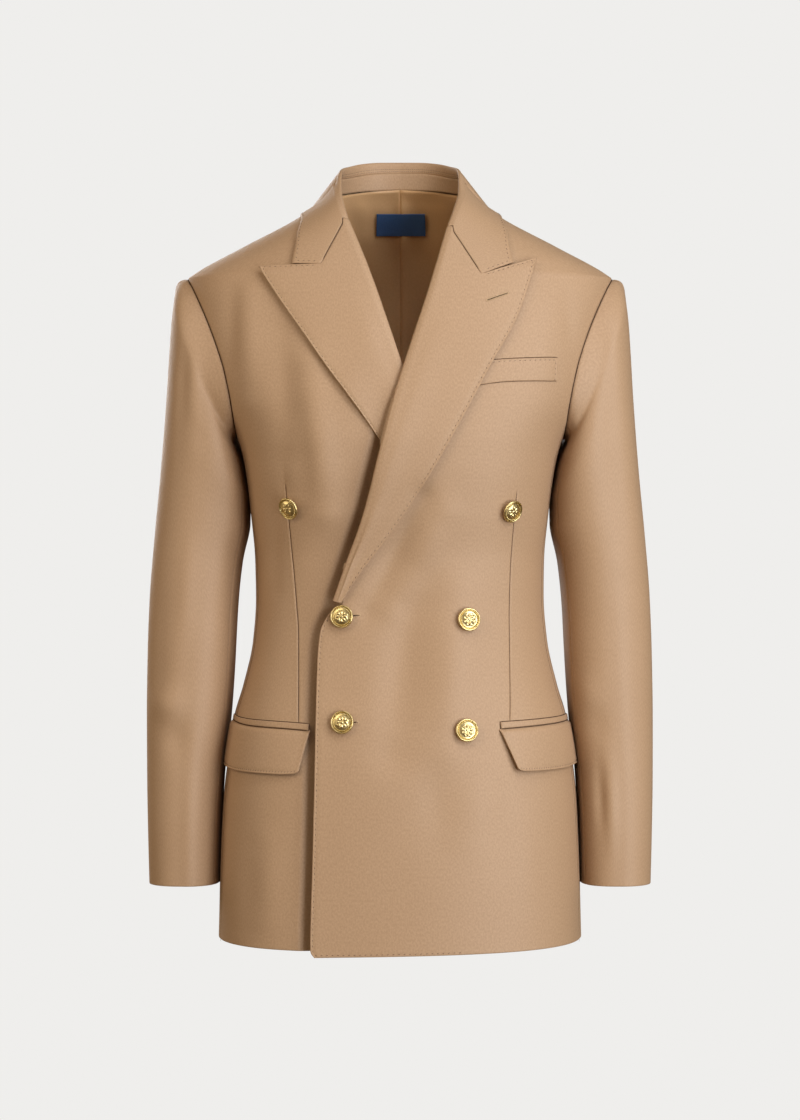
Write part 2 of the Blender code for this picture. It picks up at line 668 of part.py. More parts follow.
# -------------------------------------------------------------- the garment
def build():
    wool = material('wool_camel', (0.50, 0.32, 0.19), 0.85)
    satin = material('lining_satin', (0.42, 0.26, 0.11), 0.45)
    brass = material('button_gold', (0.80, 0.58, 0.22), 0.30, 1.0)
    navy = material('label_navy', (0.02, 0.03, 0.07), 0.7)

    # fronts, sides and backs: the shell
    for side, word in ((1, 'left'), (-1, 'right')):
        left, right = front_rows(side)
        rows = between(left, right, 12)
        body_panel('front_' + word, side, rows, 0 * rows[..., 0], BODY_WALL, wool)
        rows = side_grid(4)
        body_panel('side_' + word, side, rows, 0 * rows[..., 0], BODY_WALL, wool)
        rows = between(*back_rows(), 6)
        body_panel('back_' + word, side, rows, 0 * rows[..., 0], BODY_WALL, wool)

    # lapels, each folded back with the front edge
    gorge = {}
    for side, word in ((1, 'left'), (-1, 'right')):
        face = lapel_points(side, LAPEL_SHARES)
        n = lapel_normals(face)
        fold_sheet('lapel_' + word, face, n, wool)
        gorge[side] = n[0, :len(WRAP) + ALONG // 2]

    # collar: fall in one piece round the neck, stand seamed inside it
    right = collar_side(-1, COLLAR_SHARES)[::-1]
    left = collar_side(1, COLLAR_SHARES)
    face = np.concatenate([right, left[1:]])
    n = grid_normals(face)
    n = n if n[0, -3, 1] < 0 else -n
    for side, row in ((-1, 0), (1, -1)):
        n[row, :gorge[side].shape[0]] = gorge[side]
    fold_sheet('collar_fall', face, n, wool)
    shares = np.array(COLLAR_SHARES[:14])
    top = np.concatenate([collar_side(-1, COLLAR_SHARES)[:14, 0][::-1],
                          collar_side(1, COLLAR_SHARES)[1:14, 0]])
    seam = np.concatenate([mirror(neckline_at(shares, -1), -1)[::-1], neckline_at(shares, 1)[1:]])
    seam = seam + np.array([0, 0, 0.5])
    inward = -np.stack([seam[:, 0], seam[:, 1] - SIDE_Y, 0 * seam[:, 0]], -1)
    inward /= np.linalg.norm(inward, axis=-1, keepdims=True)
    down = seam + inward * 2.0 - top
    down /= np.linalg.norm(down, axis=-1, keepdims=True)
    face = np.array([top + down * 0.35, (top + seam + inward * 2.0) / 2, seam + inward * 2.0])
    sheet('collar_stand', face, face - inward * FOLD_WALL, wool)

    # sleeves in two pieces, seamed at the front and back of the arm
    for side, word in ((1, 'left'), (-1, 'right')):
        sleeve_part('top_sleeve_' + word, side, -124.7, 151.7, 19, wool)
        sleeve_part('under_sleeve_' + word, side, 152.3, 234.7, 7, wool)

    # pockets: breast welt, jetted hip pockets with flaps
    u = np.linspace(0, 1, 6)
    top, foot = -161.4 + 7.0 * u, -185.5 + 7.7 * u
    z = np.stack([top, foot])
    x = np.stack([70 + 80.3 * u, 69.4 + 80 * u])
    laid_patch('breast_welt', 1, x, z, 1.6 + 0 * x, 1.1, wool)
    hip_pocket(1, 'hip_flap_left', 'hip_jet_left', wool)
    hip_pocket(-1, 'hip_flap_right', 'hip_jet_right', wool)

    # lining of the back, with the neck label left blank
    for side, word in ((1, 'left'), (-1, 'right')):
        rows = between(*back_rows(), 6)[2:]
        body_panel('lining_' + word, side, rows, 0 * rows[..., 0] - 1.8, LINING_WALL, satin)
    x = np.stack([np.linspace(26.4, -24.6, 6)] * 3)
    z = np.array([[0.6], [-10.0], [-20.6]]) + 0 * x
    a, b = section(z)[0], section(z)[2]
    base = np.stack([x, SIDE_Y + b * np.sqrt(1 - (x / a) ** 2), z], -1)
    n = outward(base)
    sheet('neck_label', base - n * 4.2, base - n * 3.4, navy)

    # gilt buttons on thread shanks
    for name, side, x, z in BUTTONS:
        button(name, side, x, z, brass)


for old in list(bpy.data.objects):
    bpy.data.objects.remove(old)
build()
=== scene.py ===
import math

import bpy
import numpy as np
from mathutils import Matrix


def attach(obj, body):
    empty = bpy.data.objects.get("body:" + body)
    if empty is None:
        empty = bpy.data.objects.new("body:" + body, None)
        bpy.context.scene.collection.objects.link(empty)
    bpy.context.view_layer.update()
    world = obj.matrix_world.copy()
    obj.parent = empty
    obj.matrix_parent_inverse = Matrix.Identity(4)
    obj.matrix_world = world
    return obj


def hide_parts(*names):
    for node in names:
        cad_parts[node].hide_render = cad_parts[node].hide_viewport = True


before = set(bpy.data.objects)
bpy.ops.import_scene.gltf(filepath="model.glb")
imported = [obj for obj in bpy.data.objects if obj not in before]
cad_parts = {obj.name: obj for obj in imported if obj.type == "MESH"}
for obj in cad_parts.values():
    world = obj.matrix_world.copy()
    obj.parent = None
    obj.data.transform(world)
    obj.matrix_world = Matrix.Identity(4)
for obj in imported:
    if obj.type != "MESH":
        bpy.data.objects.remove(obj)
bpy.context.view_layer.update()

# ------------------------------------------------------------------ the studio
# A pale seamless sweep behind the hanging blazer, cool soft lights on the wearer's
# left and warm weaker ones on the right, one for the back, and a level camera three
# metres away at the height of the buttons.  None of it belongs to the garment.
PALE, COOL, WARM, WHITE = (0.863, 0.855, 0.838), (1.0, 1.04, 1.09), (1.0, 0.88, 0.70), (1.0, 1.0, 1.0)
EYE_HEIGHT = -0.349                # of the camera, in metres as all of the studio
scene = bpy.context.scene
scene.view_settings.view_transform = 'Standard'
scene.view_settings.look = 'None'


def put(name, data):
    """Object made of data, in the scene."""
    thing = bpy.data.objects.new(name, data)
    scene.collection.objects.link(thing)
    return thing


def join(tree, *links):
    """Links of a node tree, each as a node, its output, the next node and its input."""
    for source, out, target, into in links:
        tree.links.new(source.outputs[out], target.inputs[into])


camera_data = bpy.data.cameras.new('camera')
camera_data.lens = 98.4            # 36 mm on the long side: 0.98 mm a pixel
camera_data.sensor_width = 36.0
camera = put('camera', camera_data)
camera.location = (0, -3.0, EYE_HEIGHT)
camera.rotation_euler = (math.pi / 2, 0, 0)
scene.camera = camera

room = bpy.data.worlds.new('studio_air')
room.use_nodes = True
scene.world = room
air = room.node_tree.nodes['Background']
air.inputs['Color'].default_value = (0.97, 0.66, 0.38, 1)
air.inputs['Strength'].default_value = 0.13


def softbox(name, place, size, power, colour):
    """Rectangular soft light that looks at the middle of the garment."""
    light = bpy.data.lights.new(name, 'AREA')
    light.shape = 'RECTANGLE'
    light.size, light.size_y = size
    light.energy = power
    light.color = colour
    lamp = put(name, light)
    lamp.location = place
    lamp.visible_camera = False
    aim = np.array([0, 0, -0.35]) - np.array(place)
    lamp.rotation_euler = (math.atan2(np.hypot(aim[0], aim[1]), -aim[2]), 0,
                           math.atan2(-aim[0], aim[1]))


softbox('key_light', (1.30, -2.22, -0.60), (1.0, 1.3), 28, COOL)
softbox('side_light', (2.10, -1.45, -0.30), (0.8, 1.3), 15, COOL)
softbox('upper_light', (1.50, -1.66, 1.00), (1.0, 1.2), 24, COOL)
softbox('top_light', (0.35, -1.20, 1.90), (1.0, 1.2), 13.5, COOL)
softbox('fill_light', (-1.45, -1.75, 0.80), (1.0, 1.2), 14, WARM)
softbox('front_light', (-0.40, -3.25, 0.05), (2.4, 2.0), 3.4, WARM)
softbox('edge_light', (-2.45, -0.45, -0.20), (1.0, 1.4), 10.5, WARM)
softbox('back_light', (-1.30, 2.40, 0.50), (1.6, 1.6), 40, WHITE)

sweep = bpy.data.materials.new('pale_sweep')
sweep.use_nodes = True
nodes = sweep.node_tree.nodes
nodes.clear()
glow = nodes.new('ShaderNodeEmission')
glow.inputs['Color'].default_value = (*PALE, 1)
seen_from = nodes.new('ShaderNodeNewGeometry')
one_sided = nodes.new('ShaderNodeMixShader')
join(sweep.node_tree, (seen_from, 'Backfacing', one_sided, 0), (glow, 0, one_sided, 1),
     (nodes.new('ShaderNodeBsdfTransparent'), 0, one_sided, 2),
     (one_sided, 0, nodes.new('ShaderNodeOutputMaterial'), 'Surface'))
profile = [(-6.0, -1.6), (1.2, -1.6)]
profile += [(1.2 + 2.0 * math.sin(a), 0.4 - 2.0 * math.cos(a)) for a in np.linspace(0.2, 1.5, 8)]
profile += [(3.2, 5.0)]
floor_mesh = bpy.data.meshes.new('floor')
floor_mesh.from_pydata([(x, y, z) for y, z in profile for x in (-6, 6)], [],
                       [(2 * i, 2 * i + 1, 2 * i + 3, 2 * i + 2) for i in range(len(profile) - 1)])
floor_mesh.materials.append(sweep)
floor_mesh.polygons.foreach_set('use_smooth', [True] * len(floor_mesh.polygons))
floor = put('floor', floor_mesh)
for ray in ('visible_diffuse', 'visible_glossy', 'visible_shadow'):
    setattr(floor, ray, False)

# --------------------------------------------------------- the cloth of the body
# Two fronts, two side panels and two backs of midweight wool twill, the fronts
# fused, joined by plain seams pressed open.  Each is a thin shell on the worn
# form: full chest, suppressed waist, light flare to the hem.  Sizes are in mm.
BODY = np.array([                  # height, half width, front, back depth, squareness
    (-721, 178.0, 131, 126, 0.070), (-690, 176.8, 130, 125, 0.070),
    (-630, 174.8, 128, 123, 0.068), (-579, 172.6, 126, 119, 0.064),
    (-547, 169.3, 124, 114, 0.060), (-500, 162.4, 119, 104, 0.056),
    (-471, 153.8, 115, 97, 0.054), (-427, 144.2, 110, 88, 0.054),
    (-384, 141.2, 107, 83, 0.056), (-350, 141.6, 108.5, 85, 0.060),
    (-304, 145.6, 116, 92, 0.080), (-255, 152.6, 124, 101, 0.088),
    (-230, 160.0, 126, 105, 0.088), (-200, 175.0, 125, 108, 0.080),
    (-170, 186.0, 121, 110, 0.070), (-140, 195.5, 115, 110, 0.060),
    (-110, 203.0, 107, 107, 0.050), (-74, 208.0, 94, 101, 0.040), (-71.5, 205.0, 92.9, 100.4, 0.040),
    (-43, 154.0, 80, 92, 0.035), (-16, 103.0, 68, 80, 0.030),
    (6, 71.0, 56, 69, 0.020), (24, 60.0, 44, 61, 0.010), (60, 56.0, 40, 60, 0.010)])
SIDE_Y = 5.0                       # depth at which front and back meet


def smooth(knots, values, at):
    """Monotone cubic through the knots, flat at each turn."""
    x, y = np.asarray(knots, float), np.asarray(values, float)
    h = np.diff(x)
    rise = np.diff(y) / h
    m = np.zeros(len(x))
    m[0], m[-1] = rise[0], rise[-1]
    for i in range(1, len(x) - 1):
        if rise[i - 1] * rise[i] > 0:
            w1, w2 = 2 * h[i] + h[i - 1], h[i] + 2 * h[i - 1]
            m[i] = (w1 + w2) / (w1 / rise[i - 1] + w2 / rise[i])
    at = np.clip(at, x[0], x[-1])
    i = np.clip(np.searchsorted(x, at, side='right') - 1, 0, len(x) - 2)
    t = (at - x[i]) / h[i]
    return ((1 + 2 * t) * (1 - t) ** 2 * y[i] + t * (1 - t) ** 2 * h[i] * m[i]
            + t * t * (3 - 2 * t) * y[i + 1] + t * t * (t - 1) * h[i] * m[i + 1])


def columns(table, which, at):
    """Columns of a table, smoothly between its rows, at values of its first one."""
    return [smooth(table[:, 0], table[:, k], at) for k in which]


def step(t):
    """Smooth rise from 0 to 1 while t does."""
    t = np.clip(t, 0.0, 1.0)
    return t * t * (3 - 2 * t)


def bell(t, middle, width):
    """Bell curve, 1 in the middle."""
    return np.exp(-((t - middle) / width) ** 2)


def unit(v):
    """Vectors of length 1."""
    return v / np.linalg.norm(v, axis=-1, keepdims=True)


def body_size(z):
    """Half width, both depths and squareness of the form at a height."""
    return columns(BODY, (1, 2, 3, 4), z)


def form(angle, z):
    """Point of the worn form; angle 0 = centre front, 90 = the side."""
    angle, z = np.broadcast_arrays(np.radians(angle), np.asarray(z, float))
    a, f, b, k = body_size(z)
    box = 1 + k * np.sin(2 * angle) ** 2
    depth = np.where(np.cos(angle) > 0, f, b)
    return np.stack([a * np.sin(angle) * box, SIDE_Y - depth * np.cos(angle) * box, z], -1)


def off_form(p):
    """0 on the form, more outside it, less inside."""
    a, f, b, k = body_size(p[..., 2])
    y = p[..., 1] - SIDE_Y
    u, v = p[..., 0] / a, -y / np.where(y < 0, f, b)
    return np.hypot(u, v) / (1 + k * np.sin(2 * np.arctan2(u, v)) ** 2) - 1


def form_slope(p):
    """Slope of off_form at the points p, along x, y and z."""
    return np.stack([(off_form(p + e) - off_form(p - e)) / 0.8 for e in np.eye(3) * 0.4], -1)


def outward(p):
    """Unit normals of the form near the points p."""
    return unit(form_slope(p))


def angle_at(x, z):
    """Angle of the front point of the form that is seen at x, z."""
    a, _, _, k = body_size(z)
    s = np.clip(np.abs(x) / a, 0, 1)
    angle = np.arcsin(s)
    for _ in range(24):
        angle = (angle + np.arcsin(np.clip(s / (1 + k * np.sin(2 * angle) ** 2), 0, 1))) / 2
    return np.degrees(angle) * np.sign(x)


def front_point(x, z, lift=0.0):
    """Point seen at x, z from the front, lifted off the form."""
    x, z = np.broadcast_arrays(np.asarray(x, float), np.asarray(z, float))
    p = form(angle_at(x, z), z)
    return p + outward(p) * np.asarray(lift)[..., None]


# Edge of the wearer's left front: height, x.
FRONT_EDGE = [(-723.4, -80.0), (-717.8, -83.8), (-642, -82.1), (-570, -80.4), (-524, -79.4),
              (-486, -78.6), (-457, -77.8), (-432, -76.5), (-416, -74.3), (-405, -69.5),
              (-397, -64.0)]
# Share of the lapel's length, then x and height of its crease and of its outer edge.
# In this and every table by side, 1 is the wearer's left, and x counts towards the side.
LAPEL = {1: np.array([(0.00, 46.5, -30.5, 130.1, -62.1), (0.15, 28.4, -93.1, 110.1, -119.3),
                      (0.30, 12.7, -141.5, 86.9, -161.9), (0.45, -3.8, -193.9, 58.4, -215.4),
                      (0.60, -17.9, -247.5, 29.2, -266.2), (0.75, -32.1, -303.7, -2.8, -316.0),
                      (0.90, -50.2, -356.6, -37.8, -362.7), (1.00, -60.6, -388.0, -54.5, -389.6)]),
         -1: np.array([(0.00, 50.8, -22.4, 134.1, -70.3), (0.15, 31.4, -71.4, 111.2, -105.7),
                       (0.30, 14.2, -120.4, 88.0, -139.0), (0.45, -2.8, -171.1, 65.0, -172.2),
                       (0.60, -18.8, -220.3, 40.4, -205.1), (0.75, -33.9, -271.8, 15.0, -241.9),
                       (0.90, -49.2, -326.3, -26.4, -303.7), (1.00, -61.8, -381.0, -55.7, -382.6)])}
# Angle and height of the neck seam, from the front to the centre back.
NECKLINE = [(36, -20), (50, -8), (70, 2), (90, 6), (120, 13.5), (150, 18.5), (180, 20.5)]
ARMHOLE_TOP, ARMHOLE_FOOT = (208.0, -74.0), (160.0, -230.0)     # x, height
UNDERARM = 150.0                   # where the front side seam meets the armhole, in its degrees
FRONT_SEAM, BACK_SEAM = 75, 116    # side seams round the form, in degrees, below the chest


def cover_edge(z):
    """x of the edge of the wearer's left front: front edge, then its fold."""
    rows = sorted(FRONT_EDGE + [(r[2], r[1]) for r in LAPEL[1][:-1]])
    return np.interp(z, [r[0] for r in rows], [r[1] for r in rows])


def edge_lift(x, z):
    """How far the overlapping front stands up along its edge and its lapel's fold."""
    past = x - cover_edge(z)
    return np.where(past > -2, 3.6 * np.exp(-np.clip(past, 0, 200) / 17), 0) * step((-120 - z) / 110)


def recede(x, z):
    """How far the wearer's right front sinks to pass under the left one."""
    past = cover_edge(z) - x
    low = step((-150 - z) / 120)
    sunk = (5.6 + 1.3 * step((z + 440) / 40)) * low + 2.5 * step((z + 270) / 120)
    return sunk * (1 - step((past - 4) / 55)) + edge_lift(x, z)


def edge_hollow(x, z):
    """Hollow of the lower front close to the covering edge, where the shadow gathers."""
    return 8.0 * step((-150 - z) / 120) * (1 - step((cover_edge(z) - x + 1) / 17))


def fold_x(side, z):
    """x of the lapel's crease at a height."""
    return smooth(LAPEL[side][::-1, 2], LAPEL[side][::-1, 1], z)


def armhole(theta):
    """Angle and height on the form; theta 0 = shoulder, 90 front, 180 underarm."""
    t = np.radians(theta)
    share = (1 + np.cos(t)) / 2
    z = ARMHOLE_FOOT[1] + (ARMHOLE_TOP[1] - ARMHOLE_FOOT[1]) * share
    bow = np.where(np.sin(t) > 0, 10.0, 5.0) * np.sin(t) ** 2
    x = ARMHOLE_FOOT[0] + (ARMHOLE_TOP[0] - ARMHOLE_FOOT[0]) * share - bow
    angle = angle_at(x, z)
    return np.where(np.sin(t) >= 0, angle, 180 - angle), z


def front_seam(z):
    """Angle of the seam between front and side panel, which swings out to the underarm."""
    return FRONT_SEAM + (armhole(UNDERARM)[0] - FRONT_SEAM) * step((z + 300) / 80)


def back_seam(z):
    """Angle of the seam between side panel and back."""
    return BACK_SEAM + (armhole(360 - UNDERARM)[0] - BACK_SEAM) * step((z + 300) / 80)


# Creases of the front and the back: from x, height to x, height, half width, rise.
FRONT_CREASES = [
    (20, -290, -31, -396, 12, -4.6), (44, -304, -5, -398, 14, 3.0), (14, -363, -7, -529, 21, -5.6),
    (58, -385, 43, -529, 22, 4.6), (33, -543, 36, -614, 16, -1.3), (74, -543, 70, -614, 18, 1.5),
    (-84, -165, -72, -305, 15, 4.8), (-145, -98, -144, -198, 12, 2.6),
    (-161, -93, -163, -160, 9, -1.8), (-114, -130, -106, -250, 14, -3.2),
    (-102, -226, -98, -292, 10, 1.6), (-121, -292, -119, -378, 8, -1.6), (161, -96, 164, -158, 9, -1.3),
    (139, -108, 134, -172, 11, 1.0), (-111, -262, -111, -290, 4, -0.9), (-142, -624, -146, -699, 12, -1.3),
    (-124, -618, -126, -690, 12, 1.1), (118, -600, 122, -690, 14, 1.1), (98, -566, 96, -640, 12, -1.0)]
BACK_CREASES = [
    (-150, -176, -124, -262, 12, -1.7), (152, -182, 128, -274, 12, -1.5), (-128, -170, -104, -236, 13, 1.0),
    (130, -176, 108, -246, 13, 0.9), (-34, -26, 38, -28, 9, -0.8), (-118, -384, -46, -398, 8, -1.0),
    (44, -392, 122, -380, 8, -0.9), (-104, -408, -52, -416, 9, 0.6), (58, -410, 108, -404, 9, 0.6),
    (-74, -560, -82, -705, 20, 1.5), (82, -572, 90, -706, 20, 1.3), (-120, -590, -130, -700, 15, -1.1),
    (30, -600, 34, -705, 14, -1.0), (128, -580, 136, -700, 15, -1.1)]


def creased(x, z, rows):
    """Rise of the cloth from a table of creases."""
    rise = 0 * x
    for x0, z0, x1, z1, width, height in rows:
        dx, dz = x1 - x0, z1 - z0
        t = ((x - x0) * dx + (z - z0) * dz) / (dx * dx + dz * dz)
        near = np.clip(t, 0, 1)
        off = np.hypot(x - x0 - near * dx, z - z0 - near * dz) / width
        rise += height * np.exp(-off ** 2) * (0.35 + 0.65 * np.sin(math.pi * np.clip(t, 0.1, 0.9)))
    return rise


def drape(angle, x, z):
    """Lift of the hanging cloth off the plain form, in mm."""
    front = step((104 - angle) / 26)
    uneven = (0.28 * np.sin(x / 31 + z / 53 + 0.6) + 0.22 * np.sin(x / 19 - z / 41 + 2.1)
              + 0.16 * np.sin(x / 47 + z / 27 + 4.0))
    slope = bell(z, -73, 13)
    shoulder = slope * (1.4 * step((angle - 25) / 20) * (1 - step((angle - 66) / 14))
                        + 2.6 * step((angle - 102) / 18) * (1 - step((angle - 160) / 16)))
    return ((creased(x, z, FRONT_CREASES) + edge_lift(x, z)) * front - shoulder
            + creased(x, z, BACK_CREASES) * (1 - front) + uneven * step((-60 - z) / 60))


def grid_faces(rows, cols):
    """Corner numbers of the cells of a grid of points."""
    i = (np.arange(rows - 1)[:, None] * cols + np.arange(cols - 1)).ravel()
    return np.stack([i, i + 1, i + cols + 1, i + cols], -1)


def mesh_piece(name, points, faces, uv=None, finishes=(), finish=None):
    """Object from points in mm and four-sided faces, smooth shaded."""
    mesh = bpy.data.meshes.new(name)
    points, faces = np.asarray(points, float), np.asarray(faces, int)
    mesh.vertices.add(len(points))
    mesh.vertices.foreach_set('co', (points * 0.001).ravel())
    mesh.loops.add(faces.size)
    mesh.loops.foreach_set('vertex_index', faces.ravel())
    mesh.polygons.add(len(faces))
    mesh.polygons.foreach_set('loop_start', np.arange(0, faces.size, faces.shape[1]))
    if uv is not None:
        mesh.uv_layers.new(name='grain').data.foreach_set('uv', (uv * 0.001)[faces.ravel()].ravel())
    for material in finishes:
        mesh.materials.append(material)
    if finish is not None:
        mesh.polygons.foreach_set('material_index', np.asarray(finish, np.int32))
    mesh.polygons.foreach_set('use_smooth', np.ones(len(faces), bool))
    mesh.update(calc_edges=True)
    return put(name, mesh)


def cloth(name, outer, inner, uv, finishes, inner_finish=None, bulge=0.25, open_rims=(1, 1, 1, 1)):
    """Closed shell between two grids; its rim is rounded where it is a free edge.

    open_rims says so for the first row, last column, last row and first column."""
    rows, cols = outer.shape[:2]
    n, around = rows * cols, grid_faces(rows, cols)
    flat_outer, flat_inner, flat_uv = outer.reshape(-1, 3), inner.reshape(-1, 3), uv.reshape(-1, 2)
    grid = np.arange(n).reshape(rows, cols)
    rim = np.concatenate([grid[0], grid[1:, -1], grid[-1, -2::-1], grid[-2:0:-1, 0]])
    step_in = np.concatenate([grid[1], grid[1:, -2], grid[-2, -2::-1], grid[-2:0:-1, 1]])
    free = np.concatenate([np.full(cols, open_rims[0]), np.full(rows - 1, open_rims[1]),
                           np.full(cols - 1, open_rims[2]), np.full(rows - 2, open_rims[3])])
    out = flat_outer[rim] - flat_outer[step_in]
    out /= np.linalg.norm(out, axis=-1, keepdims=True) + 1e-9
    middle = (flat_outer[rim] + flat_inner[rim]) / 2 + out * (free * bulge)[:, None]
    points = np.concatenate([flat_outer, flat_inner, middle])
    m = 2 * n + np.arange(len(rim))
    j, mj = np.roll(rim, -1), np.roll(m, -1)
    sides = np.concatenate([np.stack([rim, m, mj, j], -1), np.stack([m, n + rim, n + j, mj], -1)])
    faces = np.concatenate([around, around[:, ::-1] + n, sides])
    a, b, c = outer[rows // 2, cols // 2], outer[rows // 2, cols // 2 + 1], outer[rows // 2 + 1, cols // 2]
    if np.dot(np.cross(b - a, c - a), a - inner[rows // 2, cols // 2]) < 0:
        faces = faces[:, ::-1]
    finish = np.zeros(len(faces), int)
    if inner_finish is not None:
        finish[len(around):2 * len(around)] = inner_finish.ravel()
    return mesh_piece(name, points, faces, np.concatenate([flat_uv, flat_uv, flat_uv[rim]]), finishes, finish)


def weave_group():
    """Twill ribs, uneven yarn and broad shade, shared by every cloth."""
    group = bpy.data.node_groups.new('weave', 'ShaderNodeTree')
    face = group.interface
    for label, kind, default in (
            ('Rib pitch m', 'NodeSocketFloat', 0.0011), ('Rib depth', 'NodeSocketFloat', 0.5),
            ('Yarn shade', 'NodeSocketFloat', 0.5), ('Dark', 'NodeSocketColor', (0, 0, 0, 1)),
            ('Light', 'NodeSocketColor', (1, 1, 1, 1))):
        face.new_socket(name=label, in_out='INPUT', socket_type=kind).default_value = default
    face.new_socket(name='Color', in_out='OUTPUT', socket_type='NodeSocketColor')
    face.new_socket(name='Height', in_out='OUTPUT', socket_type='NodeSocketFloat')
    new, link = group.nodes.new, group.links.new
    given, given_back = new('NodeGroupInput'), new('NodeGroupOutput')
    grain = new('ShaderNodeUVMap')
    grain.uv_map = 'grain'

    def math_node(operation, first, second):
        node = new('ShaderNodeMath')
        node.operation = operation
        for socket, value in zip(node.inputs, (first, second)):
            if isinstance(value, (int, float)):
                socket.default_value = value
            else:
                link(value, socket)
        return node.outputs[0]

    turned = new('ShaderNodeMapping')
    turned.inputs['Rotation'].default_value = (0, 0, math.radians(27))
    across = new('ShaderNodeSeparateXYZ')
    join(group, (grain, 0, turned, 'Vector'), (turned, 0, across, 0))
    turns = math_node('DIVIDE', across.outputs['X'], given.outputs['Rib pitch m'])
    rib = math_node('SINE', math_node('MULTIPLY', turns, 2 * math.pi), 0)
    yarn = new('ShaderNodeTexNoise')
    yarn.inputs['Scale'].default_value = 740
    yarn.inputs['Detail'].default_value = 2
    stretched = new('ShaderNodeMapping')
    stretched.inputs['Scale'].default_value = (1.0, 0.55, 1.0)
    place = new('ShaderNodeTexCoord')
    broad = new('ShaderNodeTexNoise')
    broad.inputs['Scale'].default_value = 14
    broad.inputs['Detail'].default_value = 3
    join(group, (grain, 0, stretched, 'Vector'), (stretched, 0, yarn, 'Vector'),
         (place, 'Object', broad, 'Vector'))
    height = math_node('ADD', math_node('MULTIPLY', rib, given.outputs['Rib depth']),
                       math_node('MULTIPLY', yarn.outputs['Fac'], 1.2))
    shade = math_node('ADD', math_node('MULTIPLY', height, 0.85),
                      math_node('MULTIPLY', broad.outputs['Fac'], 0.16))
    shade = math_node('MULTIPLY', math_node('SUBTRACT', shade, 0.59), given.outputs['Yarn shade'])
    mix = new('ShaderNodeMix')
    mix.data_type = 'RGBA'
    link(math_node('ADD', shade, 0.5), mix.inputs[0])
    join(group, (given, 'Dark', mix, 6), (given, 'Light', mix, 7), (mix, 2, given_back, 'Color'))
    link(height, given_back.inputs['Height'])
    return group


weave = weave_group()


def blank_finish(name):
    """Material, its node tree and its shader."""
    material = bpy.data.materials.new(name)
    material.use_nodes = True
    return material, material.node_tree, material.node_tree.nodes['Principled BSDF']


def cloth_finish(name, dark, light, pitch, depth, yarn_shade, roughness, sheen, sheen_tint, bump,
                 gloss=0.5):
    """Woven material: weave group into colour and bump, the rest on the shader."""
    material, tree, shader = blank_finish(name)
    woven = tree.nodes.new('ShaderNodeGroup')
    woven.node_tree = weave
    for label, value in (('Rib pitch m', pitch), ('Rib depth', depth), ('Yarn shade', yarn_shade),
                         ('Dark', (*dark, 1)), ('Light', (*light, 1))):
        woven.inputs[label].default_value = value
    relief = tree.nodes.new('ShaderNodeBump')
    relief.inputs['Strength'].default_value = bump
    relief.inputs['Distance'].default_value = 0.0003
    join(tree, (woven, 'Color', shader, 'Base Color'), (woven, 'Height', relief, 'Height'),
         (relief, 'Normal', shader, 'Normal'))
    shader.inputs['Roughness'].default_value = roughness
    shader.inputs['Specular IOR Level'].default_value = gloss
    shader.inputs['Sheen Weight'].default_value = sheen
    shader.inputs['Sheen Roughness'].default_value = 0.5
    shader.inputs['Sheen Tint'].default_value = (*sheen_tint, 1)
    return material


RIB_PITCH = 0.00056                # of the twill, in metres
wool = cloth_finish('camel_wool_twill', (0.398, 0.243, 0.131), (0.488, 0.311, 0.180), RIB_PITCH, 0.16, 2.2,
                    0.58, 0.06, (1.0, 0.92, 0.80), 0.22, 0.56)
satin = cloth_finish('bronze_lining_satin', (0.60, 0.35, 0.160), (0.78, 0.49, 0.250), 0.0006, 0.3, 0.8,
                     0.34, 0.15, (1.0, 0.85, 0.65), 0.15, 0.7)
# Painted shade: near-black strands along the seams, darts, pocket mouths, collar notches and buttonhole slits
# stand in for the shadow in their grooves and gaps.
seam_shade = cloth_finish('painted_seam_shade_wool', (0.085, 0.050, 0.030), (0.110, 0.066, 0.042),
                          RIB_PITCH, 0.16, 0.9, 0.9, 0.0, (1.0, 1.0, 1.0), 0.1, 0.1)

LIP = np.array([0, 0.15, 0.4, 0.8, 1.4, 2.4, 3.6])          # cells close to an edge
FRONT_PITCH, PITCH = 3.2, 3.4                               # cells elsewhere: fronts, other panels
DART_CELLS = np.array([-4.2, -2.4, -1.3, -0.6, 0, 0.6, 1.3, 2.4, 4.2])
WALL, HEM_TURN, FACING = 1.5, 34, 76                        # of the cloth, inside the hem and the edge
PAST_CREASE = 6.3                                           # from a lapel's crease to its front panel
GRAIN_RADIUS = 145                                          # mm of cloth round the body for a radian
# Heights of the rows of the panels: down the side seams, then the armhole in its degrees,
# and along the front edge, then the lapel's crease.
SIDE_LEVELS = [-716.5, -711, -688, -655, -620, -585, -550, -515, -480, -450,
               -425, -403, -388, -372, -348, -322, -296, -270, -246]
EDGE_LEVELS = [-723.4, -717.8, -690, -655, -620, -585, -550, -515, -480, -450, -425, -405, -397]
FOLD_LEVELS = [-365, -335, -305, -275, -245, -215, -185, -155, -125, -95, -65, -45]
FRONT_ARMHOLE = [150, 130, 110, 90, 70, 50, 36, 25, 17, 11, 5, 0]
BACK_LEVELS = [-215, -182, -150, -118, -86, -54, -24, 2]
BACK_ARMHOLE = [210, 228, 246, 264, 282, 299, 315, 329, 340, 349, 355, 360]
# Height and x of each dart, from its point down to the pocket.
DART = {1: [(-240, 116), (-280.5, 111.7), (-366, 105.7), (-409, 104.7), (-486, 104.7),
            (-501, 104.4), (-560, 104)],
        -1: [(-240, 113), (-273.9, 109.8), (-315.6, 105.8), (-373.8, 100.9), (-428, 99.1),
             (-499.6, 98.3), (-560, 98)]}


def dart_angle(side, z):
    """Angle of the dart of one front at a height."""
    return angle_at(*columns(np.array(DART[side])[::-1], (1,), z), z)


